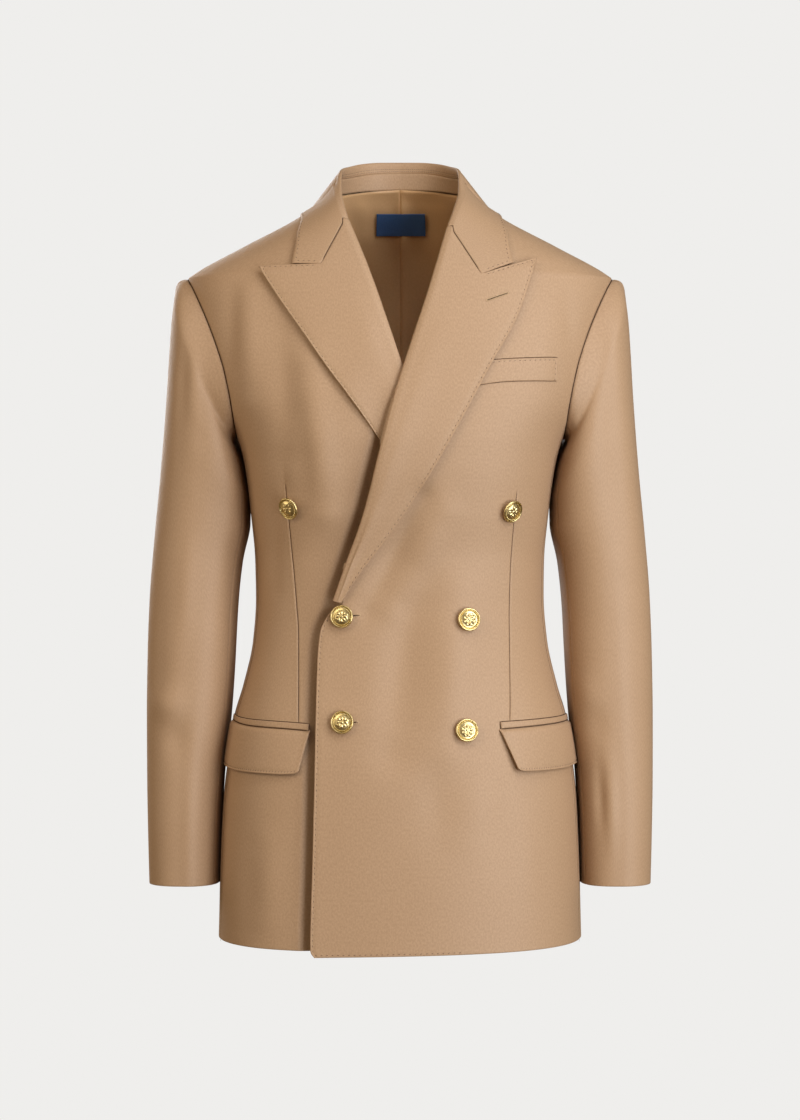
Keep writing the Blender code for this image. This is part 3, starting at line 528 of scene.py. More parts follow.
def front_ends(side):
    """Both ends of the rows of a front, sampled finely: row number, angle, height."""
    v = np.linspace(0, 30, 481)
    table = LAPEL[side]
    low = np.interp(v, np.arange(13), EDGE_LEVELS)
    edge = np.array(FRONT_EDGE)
    angle = angle_at(smooth(edge[:, 0], edge[:, 1], low), low)
    z = low + (3.0 * (1 - step(v - 1)) if side < 0 else 0.0)
    levels = [table[-1, 2] - 3] + FOLD_LEVELS + [table[0, 2]]
    fold = np.interp(v, np.arange(13, 27), levels)
    folded = angle_at(fold_x(side, fold) + PAST_CREASE, fold)
    neck = np.array([(float(folded[v == 26][0]), table[0, 2])] + NECKLINE[:4])
    t = np.clip(v - 12, 0, 1)
    angle = angle * (1 - t) + folded * t
    z = z * (1 - t) + fold * t
    angle = np.where(v > 26, smooth(np.arange(26, 31), neck[:, 0], v), angle)
    z = np.where(v > 26, smooth(np.arange(26, 31), neck[:, 1], v), z)
    right_z = np.interp(v, np.arange(19), SIDE_LEVELS)
    theta = np.interp(v, np.arange(19, 31), FRONT_ARMHOLE)
    arm_angle, arm_z = armhole(theta)
    t = np.clip(v - 18, 0, 1)
    right_angle = np.minimum(front_seam(right_z) * (1 - t) + arm_angle * t, 90)
    return v, np.stack([angle, z], -1), np.stack([right_angle, right_z * (1 - t) + arm_z * t], -1)


def back_ends(first=0):
    """Both ends of the rows of a back, from row number first."""
    v = np.linspace(0, 30, 481)
    levels = SIDE_LEVELS + BACK_LEVELS
    neck = np.array([(180, levels[-1])] + NECKLINE[:2:-1])
    angle = np.where(v > 26, smooth(np.arange(26, 31), neck[:, 0], v), 180)
    z = np.where(v > 26, smooth(np.arange(26, 31), neck[:, 1], v), np.interp(v, np.arange(27), levels))
    right_z = np.interp(v, np.arange(19), SIDE_LEVELS)
    arm_angle, arm_z = armhole(np.interp(v, np.arange(19, 31), BACK_ARMHOLE))
    t = np.clip(v - 18, 0, 1)
    right_angle = np.maximum(back_seam(right_z) * (1 - t) + arm_angle * t, 90)
    right = np.stack([right_angle, right_z * (1 - t) + arm_z * t], -1)
    keep = v >= first
    return v[keep], np.stack([angle, z], -1)[keep], right[keep]


def edge_cells(length, pitch):
    """Distances along a line: fine cells at both ends, even ones between."""
    count = max(2, int(round((length - 2 * LIP[-1]) / pitch)))
    inner = np.linspace(LIP[-1], length - LIP[-1], count + 1)[1:-1]
    return np.concatenate([LIP, inner, length - LIP[::-1]])


def panel_rows(v, left, right, pitch):
    """Even rows of a panel, with fine rows at the foot and the top."""
    mid = form((left[:, 0] + right[:, 0]) / 2, (left[:, 1] + right[:, 1]) / 2)
    run = np.concatenate([[0], np.cumsum(np.linalg.norm(np.diff(mid, axis=0), axis=-1))])
    at = np.interp(edge_cells(run[-1], pitch), run, v)
    left, right = [np.stack([np.interp(at, v, ends[:, k]) for k in (0, 1)], -1) for ends in (left, right)]
    return at, left, right


def panel_grid(left, right, pitch, mark=None):
    """Angle and height of every point, with columns along a dart when there is one."""
    u = np.linspace(0, 1, 49)
    rough = left[:, None] + (right - left)[:, None] * u[None, :, None]
    line = form(rough[..., 0], rough[..., 1])
    run = np.concatenate([np.zeros((len(left), 1)),
                          np.cumsum(np.linalg.norm(np.diff(line, axis=1), axis=-1), axis=1)], 1)
    widest = run[:, -1].max()
    count = int(round(widest / pitch))
    share = np.full(len(left), 0.5)
    if mark is not None:
        for r in range(len(left)):
            gap = rough[r, :, 0] - mark(rough[r, :, 1])
            share[r] = np.clip(np.interp(0, gap, run[r]), 0.3 * run[r, -1], 0.78 * run[r, -1]) / run[r, -1]
    cells, away, end = [], [], LIP[-1]
    for r in range(len(left)):
        length = run[r, -1]
        if mark is None:
            inner = np.linspace(end, length - end, count + 1)[1:-1]
            d = np.concatenate([LIP, inner, length - LIP[::-1]])
            away.append(np.full(len(d), 99.0))
        else:
            m = share[r] * length
            first = np.linspace(end, m - 4.2, int(count * 0.55) + 1)[1:-1]
            second = np.linspace(m + 4.2, length - end, int(count * 0.45) + 1)[1:-1]
            d = np.concatenate([LIP, first, m + DART_CELLS, second, length - LIP[::-1]])
            away.append(d - m)
        cells.append(np.stack([np.interp(d, run[r], u), d], -1))
    cells = np.array(cells)
    grid = left[:, None] + (right - left)[:, None] * cells[..., :1]
    return grid, cells[..., 1], run[:, -1:] - cells[..., 1], np.array(away)


def rounded(d, radius=0.7):
    """How far a turned edge falls away at distance d from it."""
    return radius * (1 - np.sqrt(1 - (1 - np.clip(d / radius, 0, 1)) ** 2))


def gutter(d, depth=0.75, width=1.5):
    """How far a seam draws the cloth in at distance d from it."""
    return depth * bell(d, 0, width)


def stitched_edge(d):
    """Rounded lip of a pressed edge and the shallow line its pick stitches draw in."""
    return gutter(d - 2.4, 0.32, 0.75) - gutter(d - 1.1, 0.12, 0.6)


stitch_lines = {}


def corners(piece, numbers):
    """Points in mm and normals of some corners of a piece."""
    picked = [piece.data.vertices[i] for i in numbers]
    return np.array([v.co for v in picked]) * 1000, np.array([v.normal for v in picked])


def note_line(name, piece, shape, cells):
    """Keep a run of grid cells, for the stitches sewn there."""
    stitch_lines[name] = corners(piece, [r * shape[1] + c for r, c in cells])


def on_body(side, angle, z, lift):
    """Points and normals of a line or a grid on the draped body, raised by lift."""
    base = form(angle, z)
    n = outward(base)
    lie = lift + drape(angle, base[..., 0] * side, z)
    if side < 0:
        lie = lie - np.where(base[..., 1] < SIDE_Y, recede(-base[..., 0], z), 0)
    flip = np.array([side, 1, 1])
    return (base + n * lie[..., None]) * flip, n * flip


def seam_line(name, points, normals, wide, high):
    """Fine dark strand laid in a seam or gap, its near-black colour painted shade of the groove: a flat
    six-sided strand.
    """
    run = np.gradient(points, axis=0)
    across = unit(np.cross(run, normals))
    count = len(points)
    taper = np.clip(np.minimum(np.arange(count), np.arange(count)[::-1]) / 3 + 0.25, 0, 1)
    t = np.radians(np.arange(6) * 60)[None, :, None]
    ring = across[:, None] * wide * np.cos(t) + normals[:, None] * high * np.sin(t)
    ring = points[:, None] + taper[:, None, None] * ring
    last = (count - 1) * 6
    start, k, after = np.arange(0, last, 6)[:, None], np.arange(6), (np.arange(6) + 1) % 6
    sides = np.stack([start + k, start + after, start + 6 + after, start + 6 + k], -1).reshape(-1, 4)
    caps = np.array([(3, 2, 1, 0), (5, 4, 3, 0), (last, last + 1, last + 2, last + 3),
                     (last, last + 3, last + 4, last + 5)])
    faces = np.concatenate([sides, caps])
    if np.dot(np.cross(ring[0, 1] - ring[0, 0], ring[1, 0] - ring[0, 0]), ring[0, 0] - points[0]) < 0:
        faces = faces[:, ::-1]
    strand = mesh_piece(name, ring.reshape(-1, 3), faces, None, (seam_shade,))
    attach(strand, 'root')
    return strand


def shell(name, side, angle, z, lift, detail, wall, finishes, inner_finish=None, rims=(1, 1, 1, 1)):
    """Closed piece on the draped body; detail draws its outer face in at seams and edges."""
    points, n = on_body(side, angle, z, lift)
    uv = np.stack([np.radians(angle) * GRAIN_RADIUS * side, z], -1)
    return cloth(name, points - n * np.asarray(detail)[..., None], points - n * np.asarray(wall)[..., None],
                 uv, finishes, inner_finish, open_rims=rims)


def run_along(points, axis):
    """Distance along each line of a grid, from its first point."""
    steps = np.linalg.norm(np.diff(points, axis=axis), axis=-1)
    pad = [(0, 0), (0, 0)]
    pad[axis] = (1, 0)
    return np.cumsum(np.pad(steps, pad), axis=axis)


def lined(inside):
    """1 for every cell of the inner face that is lined, 0 for the twill turned in."""
    return inside[:-1, :-1].astype(int)


SIDES = ((1, 'left'), (-1, 'right'))
panels = {}
for side, word in SIDES:
    at, left, right = panel_rows(*front_ends(side), FRONT_PITCH)
    grid, d_edge, d_seam, away = panel_grid(left, right, FRONT_PITCH, lambda z: dart_angle(side, z))
    angle, z, edge_row = grid[..., 0], grid[..., 1], step(13.6 - at)[:, None]
    base = form(angle, z)
    down = run_along(base, 0)
    up = down[-1:] - down
    dart = step((z + 506) / 6) * step((DART[side][1][0] + 4 - z) / 14)
    detail = (gutter(away, 0.95, 0.55) - 0.3 * bell(away, 1.9, 1.1)) * dart
    detail += gutter(d_seam) + gutter(up, 0.6, 1.2)
    detail += (rounded(d_edge, 0.8) + stitched_edge(d_edge)) * edge_row + rounded(down, 0.8)
    wall = WALL + 0.55 * bell(d_edge, 0, 7) * edge_row
    lift = 0.0 if side > 0 else -edge_hollow(-base[..., 0], z)
    panels['front_' + word] = shell('cloth_front_' + word, side, angle, z, lift, detail, wall, (wool, satin),
                                    lined((d_edge > FACING) & (down > HEM_TURN)), rims=(1, 0, 0, 1))
    if side > 0:
        below_lapel = [(r, 5) for r in range(6, d_edge.shape[0]) if at[r] < 12.8]
        note_line('front_edge', panels['front_left'], d_edge.shape,
                  [(5, c) for c in range(45, 4, -1)] + below_lapel)

    rows = np.arange(0, 18.01, 0.1)
    z_rows = np.interp(rows, np.arange(19), SIDE_LEVELS)
    ends = [np.stack([seam(z_rows), z_rows], -1) for seam in (front_seam, back_seam)]
    at, left, right = panel_rows(rows, *ends, PITCH)
    grid, d_front, d_back, _ = panel_grid(left[:-3], right[:-3], PITCH)
    share = d_front[-1] / (d_front[-1] + d_back[-1])
    arc = np.stack(armhole(UNDERARM + (360 - 2 * UNDERARM) * share), -1)
    climb = np.concatenate([np.linspace(0, 1, 7)[1:-1], 1 - LIP[:-2][::-1] / 24])
    grid = np.concatenate([grid, grid[-1] + (arc - grid[-1]) * climb[:, None, None]])
    d_front, d_back = [np.concatenate([d, np.repeat(d[-1:], len(climb), 0)]) for d in (d_front, d_back)]
    angle, z = grid[..., 0], grid[..., 1]
    down = run_along(form(angle, z), 0)
    detail = gutter(d_front) + gutter(d_back) + gutter(down[-1:] - down) + rounded(down, 0.8)
    panels['side_' + word] = shell('cloth_side_' + word, side, angle, z, 0.0, detail, WALL, (wool, satin),
                                   lined(down > HEM_TURN), rims=(1, 0, 0, 0))

    at, left, right = panel_rows(*back_ends(), PITCH)
    grid, d_middle, d_seam, _ = panel_grid(left, right, PITCH)
    angle, z = grid[..., 0], grid[..., 1]
    down = run_along(form(angle, z), 0)
    detail = gutter(d_middle) + gutter(d_seam) + gutter(down[-1:] - down, 0.6, 1.2) + rounded(down, 0.8)
    panels['back_' + word] = shell('cloth_back_' + word, side, angle, z, 0.0, detail, WALL, (wool, satin),
                                   lined(down > HEM_TURN), rims=(1, 0, 0, 0))

for name, piece in panels.items():
    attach(piece, 'root')
    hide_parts(name)
for side, word in SIDES:
    z = np.linspace(-505, DART[side][1][0] + 1, 70)
    seam_line('dart_line_' + word, *on_body(side, dart_angle(side, z), z, -0.55),
              0.23 if side > 0 else 0.32, 0.3)
    z = np.linspace(-719, -238, 120)
    seam_line('front_side_line_' + word, *on_body(side, front_seam(z), z, -0.55), 0.45, 0.3)
    seam_line('back_side_line_' + word, *on_body(side, back_seam(z), z, -0.55), 0.45, 0.3)
    z = np.linspace(2, -70, 30)
    seam_line('shoulder_line_' + word, *on_body(side, 90 + 0 * z, z, -0.5), 0.35, 0.3)
seam_line('centre_back_line', *on_body(1, 180.0, np.linspace(-719, 18, 120), -0.55), 0.45, 0.3)

# -------------------------------------------------------------------- sleeves
# Two-piece sleeves of the same twill, eased into the armholes over a light
# wadding, seamed at the front and the back of the arm and turned up at the cuff.
SLEEVE = np.array([                # outer x, z, inner x, z, half depth, middle y
    (214.5, -76.5, 159.8, -233.5, 57, 4), (219.0, -88.0, 157.6, -241.0, 58.5, 4),
    (222.5, -112.0, 153.2, -255.0, 60, 4), (225.0, -145.0, 150.3, -272.0, 60.5, 4.5),
    (228.0, -190.0, 148.0, -288.0, 60, 6), (234.0, -262.0, 148.3, -314.0, 57, 9),
    (240.0, -326.0, 155.9, -352.0, 54, 10.5), (244.5, -384.0, 160.2, -396.0, 52, 10.5),
    (246.5, -440.0, 162.4, -442.0, 50.5, 9), (247.3, -500.0, 166.2, -500.0, 48.5, 6.5),
    (247.0, -560.0, 172.4, -556.0, 46.5, 3.5), (246.0, -615.0, 175.4, -612.0, 44.5, 1),
    (244.7, -664.6, 176.6, -664.6, 43, 0)])
SLEEVE_FOLDS = [     # side, degrees round the arm, height, half width, half length, rise
    (-1, 64, -165, 11, 60, -2.6), (-1, 86, -135, 10, 40, 1.8), (-1, 109, -600, 14, 90, 2.8),
    (-1, 92, -375, 12, 50, 1.8), (-1, 66, -490, 26, 15, 3.4), (-1, 84, -522, 16, 18, -2.6),
    (-1, 54, -440, 18, 90, -1.4), (-1, 262, -400, 26, 60, -2.2), (-1, 290, -330, 18, 90, 1.5),
    (-1, 255, -430, 36, 16, -1.8), (-1, 246, -372, 30, 14, -1.3), (-1, 118, -300, 13, 60, -1.2),
    (-1, 300, -520, 16, 90, 1.1), (-1, 20, -420, 22, 120, 0.8), (1, 102, -330, 20, 130, 1.4),
    (1, 121, -578, 7, 30, -3.0), (1, 107, -588, 10, 42, 2.2), (1, 130, -478, 14, 18, 2.0),
    (1, 118, -508, 12, 16, -1.4), (1, 60, -450, 18, 140, -1.2), (1, 268, -410, 24, 70, -2.0),
    (1, 240, -300, 18, 80, 1.5), (1, 270, -385, 40, 18, -2.0), (1, 250, -440, 32, 13, -1.5),
    (1, 46, -235, 15, 100, 1.2), (1, 78, -225, 14, 100, -2.2),
    (1, 296, -560, 15, 80, -1.2), (1, 24, -250, 20, 90, -0.8), (1, 74, -372, 34, 16, -0.7)]
ARM_MM = 0.87                      # mm of cloth for each degree round the arm


def fold_rise(side, theta, z):
    """Rise of the folds of one sleeve."""
    rise = 0 * z
    for on, at, middle, half_width, half_length, height in SLEEVE_FOLDS:
        if on == side:
            off = (theta - at + 180) % 360 - 180
            rise += height * np.exp(-(off / half_width) ** 2 - ((z - middle) / half_length) ** 2)
    return rise * step((-120 - z) / 60)


def sleeve_line(side, theta):
    """Seam of the armhole on the draped body, its normal, and the way out of the body."""
    angle, z = armhole(theta)
    start = form(angle, z)
    n = outward(start)
    ahead = form(*armhole(theta + 0.5)) - start
    open_way = np.cross(n, unit(ahead))
    open_way *= np.sign(np.sum(open_way * (np.array([184, 5, -152.0]) - start), -1))[:, None]
    return start + n * drape(angle, start[..., 0] * side, z)[..., None], n, open_way


def sleeve_grid(side, theta, at):
    """Points of the sleeve round the arm at ring numbers at, counted from the armhole."""
    rings = np.stack([smooth(np.arange(len(SLEEVE)), SLEEVE[:, k], at) for k in range(6)], -1)
    ox, oz, ix, iz, depth, mid = rings[:, :, None].transpose(1, 0, 2)
    t = np.radians(theta)[None]
    level = (oz + iz) / 2 + (oz - iz) / 2 * np.cos(t)
    square = np.where(np.sin(t) < 0, 0.06, np.where(np.cos(t) < 0, 0.12, 0.0))
    box = 1 + square * np.sin(2 * t) ** 2 + fold_rise(side, theta[None], level) / depth
    y = mid - depth * np.sin(t) * box
    return np.stack([(ox + ix) / 2 + (ox - ix) / 2 * np.cos(t) * box - 0.10 * (y - mid), y,
                     (oz + iz) / 2 + (oz - iz) / 2 * np.cos(t) * box], -1)


HEAD_END = 1.5                     # ring where the rounded sleeve head has run out
SLEEVE_PITCH, CUFF_TURN = 3.3, 36
HEAD = np.array([0, 0.015, 0.035, 0.06, 0.09, 0.13, 0.18, 0.24, 0.31, 0.39, 0.48, 0.58, 0.68, 0.79, 0.9])
outer_run = np.concatenate([[0], np.cumsum(np.hypot(*np.diff(SLEEVE[:, :2], axis=0).T))])
head_run = np.interp(HEAD_END, np.arange(len(SLEEVE)), outer_run)
ring_at = np.interp(np.concatenate([np.linspace(head_run, outer_run[-1] - LIP[-1], 166),
                                    outer_run[-1] - LIP[-2::-1]]), outer_run, np.arange(len(SLEEVE)))
for side, word in SIDES:
    for name, first, last in (('top_sleeve_', -125.0, 152.0), ('under_sleeve_', 152.0, 235.0)):
        d = edge_cells((last - first) * ARM_MM, SLEEVE_PITCH)
        theta = first + d / ARM_MM
        start, seam_n, open_way = sleeve_line(side, theta)
        arm = sleeve_grid(side, theta, ring_at)
        foot = ((1 - np.cos(np.radians(theta))) / 2)[:, None]
        cap = np.clip(np.cos(np.radians(theta - 15)) + 0.35, 0, 1)
        chord = arm[0] - start
        reach = np.linalg.norm(chord, axis=-1, keepdims=True)
        leave = (open_way * (1 - foot) + seam_n * (0.22 + 0.5 * foot) + 0.2 * chord / reach
                 + np.array([0, 0, 1.15]) * cap[:, None] ** 2)
        leave *= (1.25 + 0.45 * cap[:, None]) * reach / np.linalg.norm(leave, axis=-1, keepdims=True)
        meet = arm[2] - arm[0]
        meet *= 1.25 * reach / np.linalg.norm(meet, axis=-1, keepdims=True)
        t = HEAD[:, None, None]
        head = ((1 + 2 * t) * (1 - t) ** 2 * start + t * (1 - t) ** 2 * leave
                + t * t * (3 - 2 * t) * arm[0] + t * t * (t - 1) * meet)
        tuck = start - seam_n * WALL - leave * 0.02
        grid = np.concatenate([tuck[None], head, arm])
        along = np.gradient(grid, axis=0)
        around = np.gradient(grid, axis=1)
        n = unit(np.cross(around, along))
        down = run_along(grid, 0)
        up = down[-1:] - down
        down = down - down[1:2]
        round_arm = theta * ARM_MM * 2 * math.pi
        ease = 0.5 * np.sin(round_arm / 11.5) + 0.35 * np.sin(round_arm / 17.3 + 1)
        rise = 0.3 * ease * cap * bell(down, 5, 8) - 0.6 * bell(down, 0, 1.1)
        grid = grid + n * rise[..., None]
        detail = -gutter(d, 0.8, 1.3) - gutter(d[-1] - d, 0.8, 1.3) - rounded(up, 0.8)
        uv = np.stack([theta * ARM_MM * side + 0 * down, -down], -1)
        flip = np.array([side, 1, 1])
        sleeve = cloth('cloth_' + name + word, (grid + n * detail[..., None]) * flip,
                       (grid - n * WALL) * flip, uv, (wool, satin), lined(up > CUFF_TURN),
                       open_rims=(0, 0, 1, 0))
        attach(sleeve, 'root')
        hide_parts(name + word)
    theta = np.linspace(-170, 190, 240)
    points, seam_n, _ = sleeve_line(side, theta)
    flip = np.array([side, 1, 1])
    seam_line('armhole_line_' + word, (points - seam_n * 0.1) * flip, seam_n * flip,
              0.4 if side > 0 else 0.32, 0.4)

# --------------------------------------------------------------------- lapels
# Wide peaked lapels, the fused front edge rolled back along a soft crease, faced
# in the same twill and seamed to the collar at the gorge below the notch.
NOTCH = {1: (76.5, -78.2), -1: (74.7, -68.6)}               # x, height
POINT = {1: (107.8, -66.5), -1: (103.0, -67.6)}             # of the collar, x, height
LIFT, FOLD_WALL, ROLL_END = 5.2, 1.6, 3.4                   # face over the front, wall, end of the roll
WRAP = np.array([(5.7, -1.9), (3.4, -1.9), (1.0, -1.9), (-1.1, -0.9), (-1.9, 1.2),
                 (-0.9, 3.3), (1.0, 4.2), (ROLL_END, LIFT)])     # round the crease: distance, lift
HALF = 14                                                   # cells from crease to notch
ACROSS = np.arange(1, 2 * HALF + 1) / (2 * HALF)


def through(points, parts):
    """Points of an even spline through the columns of a grid."""
    before, behind = 2 * points[:, :1] - points[:, 1:2], 2 * points[:, -1:] - points[:, -2:-1]
    p = np.concatenate([before, points, behind], 1)
    out = []
    for i in range(1, p.shape[1] - 2):
        a, b, c, d = p[:, i - 1], p[:, i], p[:, i + 1], p[:, i + 2]
        for t in np.arange(parts) / parts:
            out.append(0.5 * (2 * b + (c - a) * t + (2 * a - 5 * b + 4 * c - d) * t * t
                              + (3 * b - a - 3 * c + d) * t ** 3))
    return np.stack(out + [points[:, -1]], 1)


def edge_share(width):
    """Shares of the way from crease to edge, finer at the edge; one for each cell."""
    s = ROLL_END + (width - ROLL_END) * ACROSS
    s[-7:] = width - LIP[::-1] * np.clip((width - ROLL_END) / 18, 0.1, 1)
    s[-11:-7] = np.linspace(s[-12], s[-7], 6)[1:-1]
    return s


def lapel_face(side, shares):
    """Face of a lapel from inside the crease to the edge: x, height, lift, share across."""
    table, t = LAPEL[side], np.asarray(shares, float)
    fold, edge = [np.stack(columns(table, which, t), -1) for which in ((1, 2), (3, 4))]
    run = unit(np.gradient(fold, t, axis=0))
    across = np.stack([-run[:, 1], run[:, 0]], -1)
    width = np.linalg.norm(edge - fold, axis=-1)
    straight = (edge - fold) / width[:, None]
    width = np.maximum(width, 6.2)
    notch, corner = np.array(NOTCH[side]), fold[0] + straight[0] * width[0]
    grid = np.zeros((len(t), len(WRAP), 4))
    grid[..., :2] = fold[:, None] + across[:, None] * WRAP[None, :, :1]
    grid[..., 2] = WRAP[:, 1]
    rest = np.zeros((len(t), len(ACROSS), 4))
    for i in range(len(t)):
        d = edge_share(width[i])
        s, s_notch = d / width[i], (ROLL_END + width[i]) / 2 / width[i]
        low, high = s / s_notch, (s - s_notch) / (1 - s_notch)
        bent = np.where((s <= s_notch)[:, None], fold[0] + (notch - fold[0]) * low[:, None],
                        notch + (corner - notch) * high[:, None])
        plain = fold[0] + straight[0] * (width[0] * s)[:, None]
        rest[i, :, :2] = fold[i] + straight[i] * d[:, None] + (bent - plain) * (1 - step(t[i] / 0.22))
        q = (d - ROLL_END) / (width[i] - ROLL_END)
        rest[i, :, 2], rest[i, :, 3] = LIFT + 0.4 * q ** 2, d
    grid = np.concatenate([through(grid, 2), rest], 1)
    roll = step((t - 0.12) / 0.3) * (1 - 0.5 * step((t - 0.85) / 0.15))
    q = grid[..., 3] / width[:, None]
    belly = 1.3 * bell(q, 0.25, 0.22) * step(q / 0.25)
    grid[..., 2] += roll[:, None] * belly * (grid[..., 3] > 0)
    return grid, width


def surface_normals(p, front):
    """Normals of a grid, turned so that the one at the index front faces the viewer."""
    n = np.cross(np.gradient(p, axis=1), np.gradient(p, axis=0))
    n /= np.linalg.norm(n, axis=-1, keepdims=True) + 1e-12
    return n if n[front][1] < 0 else -n


CREASE_MM, LAPEL_PITCH = 380.0, 3.0
shares = edge_cells(CREASE_MM, LAPEL_PITCH) / CREASE_MM
for side, word in SIDES:
    grid, width = lapel_face(side, shares)
    x, z, lift = grid[..., 0], grid[..., 1], grid[..., 2]
    if side < 0:
        away = cover_edge(z) + x
        press = 1 - 0.48 * (1 - step((away - 3) / 45))
        lift = np.where(lift > 0, lift * press, lift) - recede(-x, z)
    lift = lift + drape(30 + 0 * x, x * side, z)
    face = front_point(x, z, lift)
    n = surface_normals(face, (len(shares) // 2, -6))
    to_edge = np.where(grid[..., 3] > 0, width[:, None] - grid[..., 3], 99)
    from_top = np.where(grid[..., 3] > width[0] * 0.47, run_along(face, 0), 99)
    nearest = np.minimum(to_edge, from_top)
    fall = rounded(nearest, 0.8) + stitched_edge(nearest) * np.clip((width[:, None] - 8) / 10, 0, 1)
    seam = gutter(run_along(face, 0), 0.6, 1.1) * (grid[..., 3] < width[0] * 0.5)
    uv = np.stack([-grid[..., 0] * side, grid[..., 1]], -1)
    flip = np.array([side, 1, 1])
    lapel = cloth('cloth_lapel_' + word, (face - n * (fall + seam)[..., None]) * flip,
                  (face - n * (FOLD_WALL - 0.3 * fall)[..., None]) * flip, uv, (wool,),
                  open_rims=(0.3, 1, 1, 0))
    last = face.shape[1] - 6
    note_line('lapel_' + word, lapel, to_edge.shape,
              [(5, c) for c in range(last - 7, last)] + [(r, last) for r in range(5, face.shape[0] - 12)])
    start = face.shape[1] - 2 * HALF - 3
    gorge, gorge_n = corners(lapel, range(start, face.shape[1] - HALF))
    seam_line('gorge_line_' + word, gorge + [0, -0.35, 0.3], gorge_n, 0.36, 0.3)
    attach(lapel, 'root')
    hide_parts('lapel_' + word)

# --------------------------------------------------------------------- collar
# A fall in one piece round the neck, turned over a stand that is sewn into the
# neckline; its ends are cut back to form the notches and meet the lapels there.
COLLAR = np.array([                # share, crease x y z, outer edge x y z
    (0.00, 0, 70, 47.6, 0, 79, 8), (0.15, 20, 67.5, 47.2, 30, 76, 6.5),
    (0.30, 37, 57, 44.6, 58, 64, 2), (0.45, 50, 38, 39.4, 80, 38, -8.5),
    (0.60, 57, 14, 34, 95, 8, -14), (0.72, 58.5, -10, 23, 98.5, -28, -22),
    (0.82, 58, -27, 9, 102, -50, -36), (0.92, 54, -46, -11, 104.5, -66, -52),
    (1.00, 49, -63, -27, 106, -78, -66)])


def neckline_at(share, side):
    """Point of the neck seam under a share of the collar's crease."""
    end = front_point(LAPEL[side][0, 1] + PAST_CREASE, LAPEL[side][0, 2])
    angle = smooth([0, .15, .3, .45, .6, .72, .82, .92, 1],
                   [180, 163, 146, 125, 98, 75, 58, 40, 30], share)
    z = smooth([30] + [r[0] for r in NECKLINE], [-26] + [r[1] for r in NECKLINE], angle)
    w = step((share - 0.88) / 0.12)[..., None]
    return form(angle, z) * (1 - w) + end * w


def off_surface(p):
    """Distance in mm from the form."""
    return off_form(p) / np.linalg.norm(form_slope(p), axis=-1)


def collar_side(side, s):
    """Face of half the collar: stand side, over the crease, to the outer edge."""
    table, lapel = COLLAR.copy(), LAPEL[side]
    notch, point = np.array(NOTCH[side]), np.array(POINT[side])
    top = front_point(lapel[0, 1], lapel[0, 2])
    table[-2, 1:4] += (top - table[-1, 1:4]) * 0.4
    table[-1, 1:4] = top
    table[-1, 4], table[-1, 6] = point
    if side < 0:
        table[-4:-1, 4] -= 4.5
    fold, edge = [np.stack(columns(table, which, s), -1) for which in ((1, 2, 3), (4, 5, 6))]
    down = neckline_at(s, side) - fold
    reach = np.linalg.norm(down, axis=-1)
    down /= reach[:, None]
    inner = np.minimum(9.8, reach - 0.8)
    out = unit(np.stack([fold[:, 0], fold[:, 1] - SIDE_Y, 0 * s], -1))
    fall = edge - fold
    fall_length = np.linalg.norm(fall, axis=-1)
    fall /= fall_length[:, None]
    run = unit(np.gradient(fold[:, [0, 2]], s, axis=0))
    across = np.stack([-run[:, 1], run[:, 0]], -1)
    up = np.array([0, 0, 1.0])
    neck, flat = [], []
    for i in range(len(s)):
        f, q = fold[i], out[i]
        controls = [f + down[i] * inner[i] - q * 2.0, f + down[i] * inner[i] * .55 - q * 2.0,
                    f + down[i] * 2.0 - q * 2.0, f - q * 1.4 + up * 0.9, f + up * 1.8,
                    f + q * 1.5 + up * 1.2 + fall[i] * 0.6, f + q * 2.1 + fall[i] * 2.2,
                    f + q * 2.2 + fall[i] * 4.6]
        r = ACROSS[:, None]
        rest = f + fall[i] * (4.6 + (fall_length[i] - 4.6) * r) + q * (2.2 * (1 - r) + 0.8 * r * (1 - r))
        neck.append(np.concatenate([through(np.array([controls]), 2)[0], rest]))
        f2, o2 = fold[i, [0, 2]], edge[i, [0, 2]]
        controls = [(*(f2 + down[i, [0, 2]] * inner[i] * k), WRAP[0, 1]) for k in (1, .55)]
        controls += [(*(f2 + across[i] * d), h) for d, h in WRAP[2:]]
        line = unit(o2 - f2)
        plain = f2 + line * (ROLL_END + (np.linalg.norm(o2 - f2) - ROLL_END) * r)
        start = lapel[0, [1, 2]]
        bent = np.where(r <= 0.5, start + (notch - start) * (0.06 + 0.94 * r * 2),
                        notch + (point - notch) * (r * 2 - 1))
        bend = step((s[i] - 0.72) / 0.28)
        rest = plain + (bent - start - (point - start) * (0.04 + 0.96 * r)) * bend
        rest = np.concatenate([rest, LIFT - 0.7 * r ** 2], 1)
        flat.append(np.concatenate([through(np.array([controls]), 2)[0], rest]))
    neck, flat = np.array(neck), np.array(flat)
    face_part = neck[:, -len(ACROSS):]
    off = off_surface(face_part)
    target = np.clip(off, 3.2 - 1.1 * ACROSS, 3.2 + 16 * (1 - ACROSS))
    face_part += outward(face_part) * (target - off)[..., None]
    lift = flat[..., 2] * np.where(flat[..., 2] > 0, 0.5 + 0.5 * step((s - 0.68) / 0.2)[:, None], 1)
    if side < 0:
        lift = lift - recede(-flat[..., 0], flat[..., 1])
    laid = front_point(flat[..., 0], flat[..., 1], lift)
    w = step((s - 0.6) / 0.32)[:, None, None]
    return (neck * (1 - w) + laid * w) * np.array([side, 1, 1])


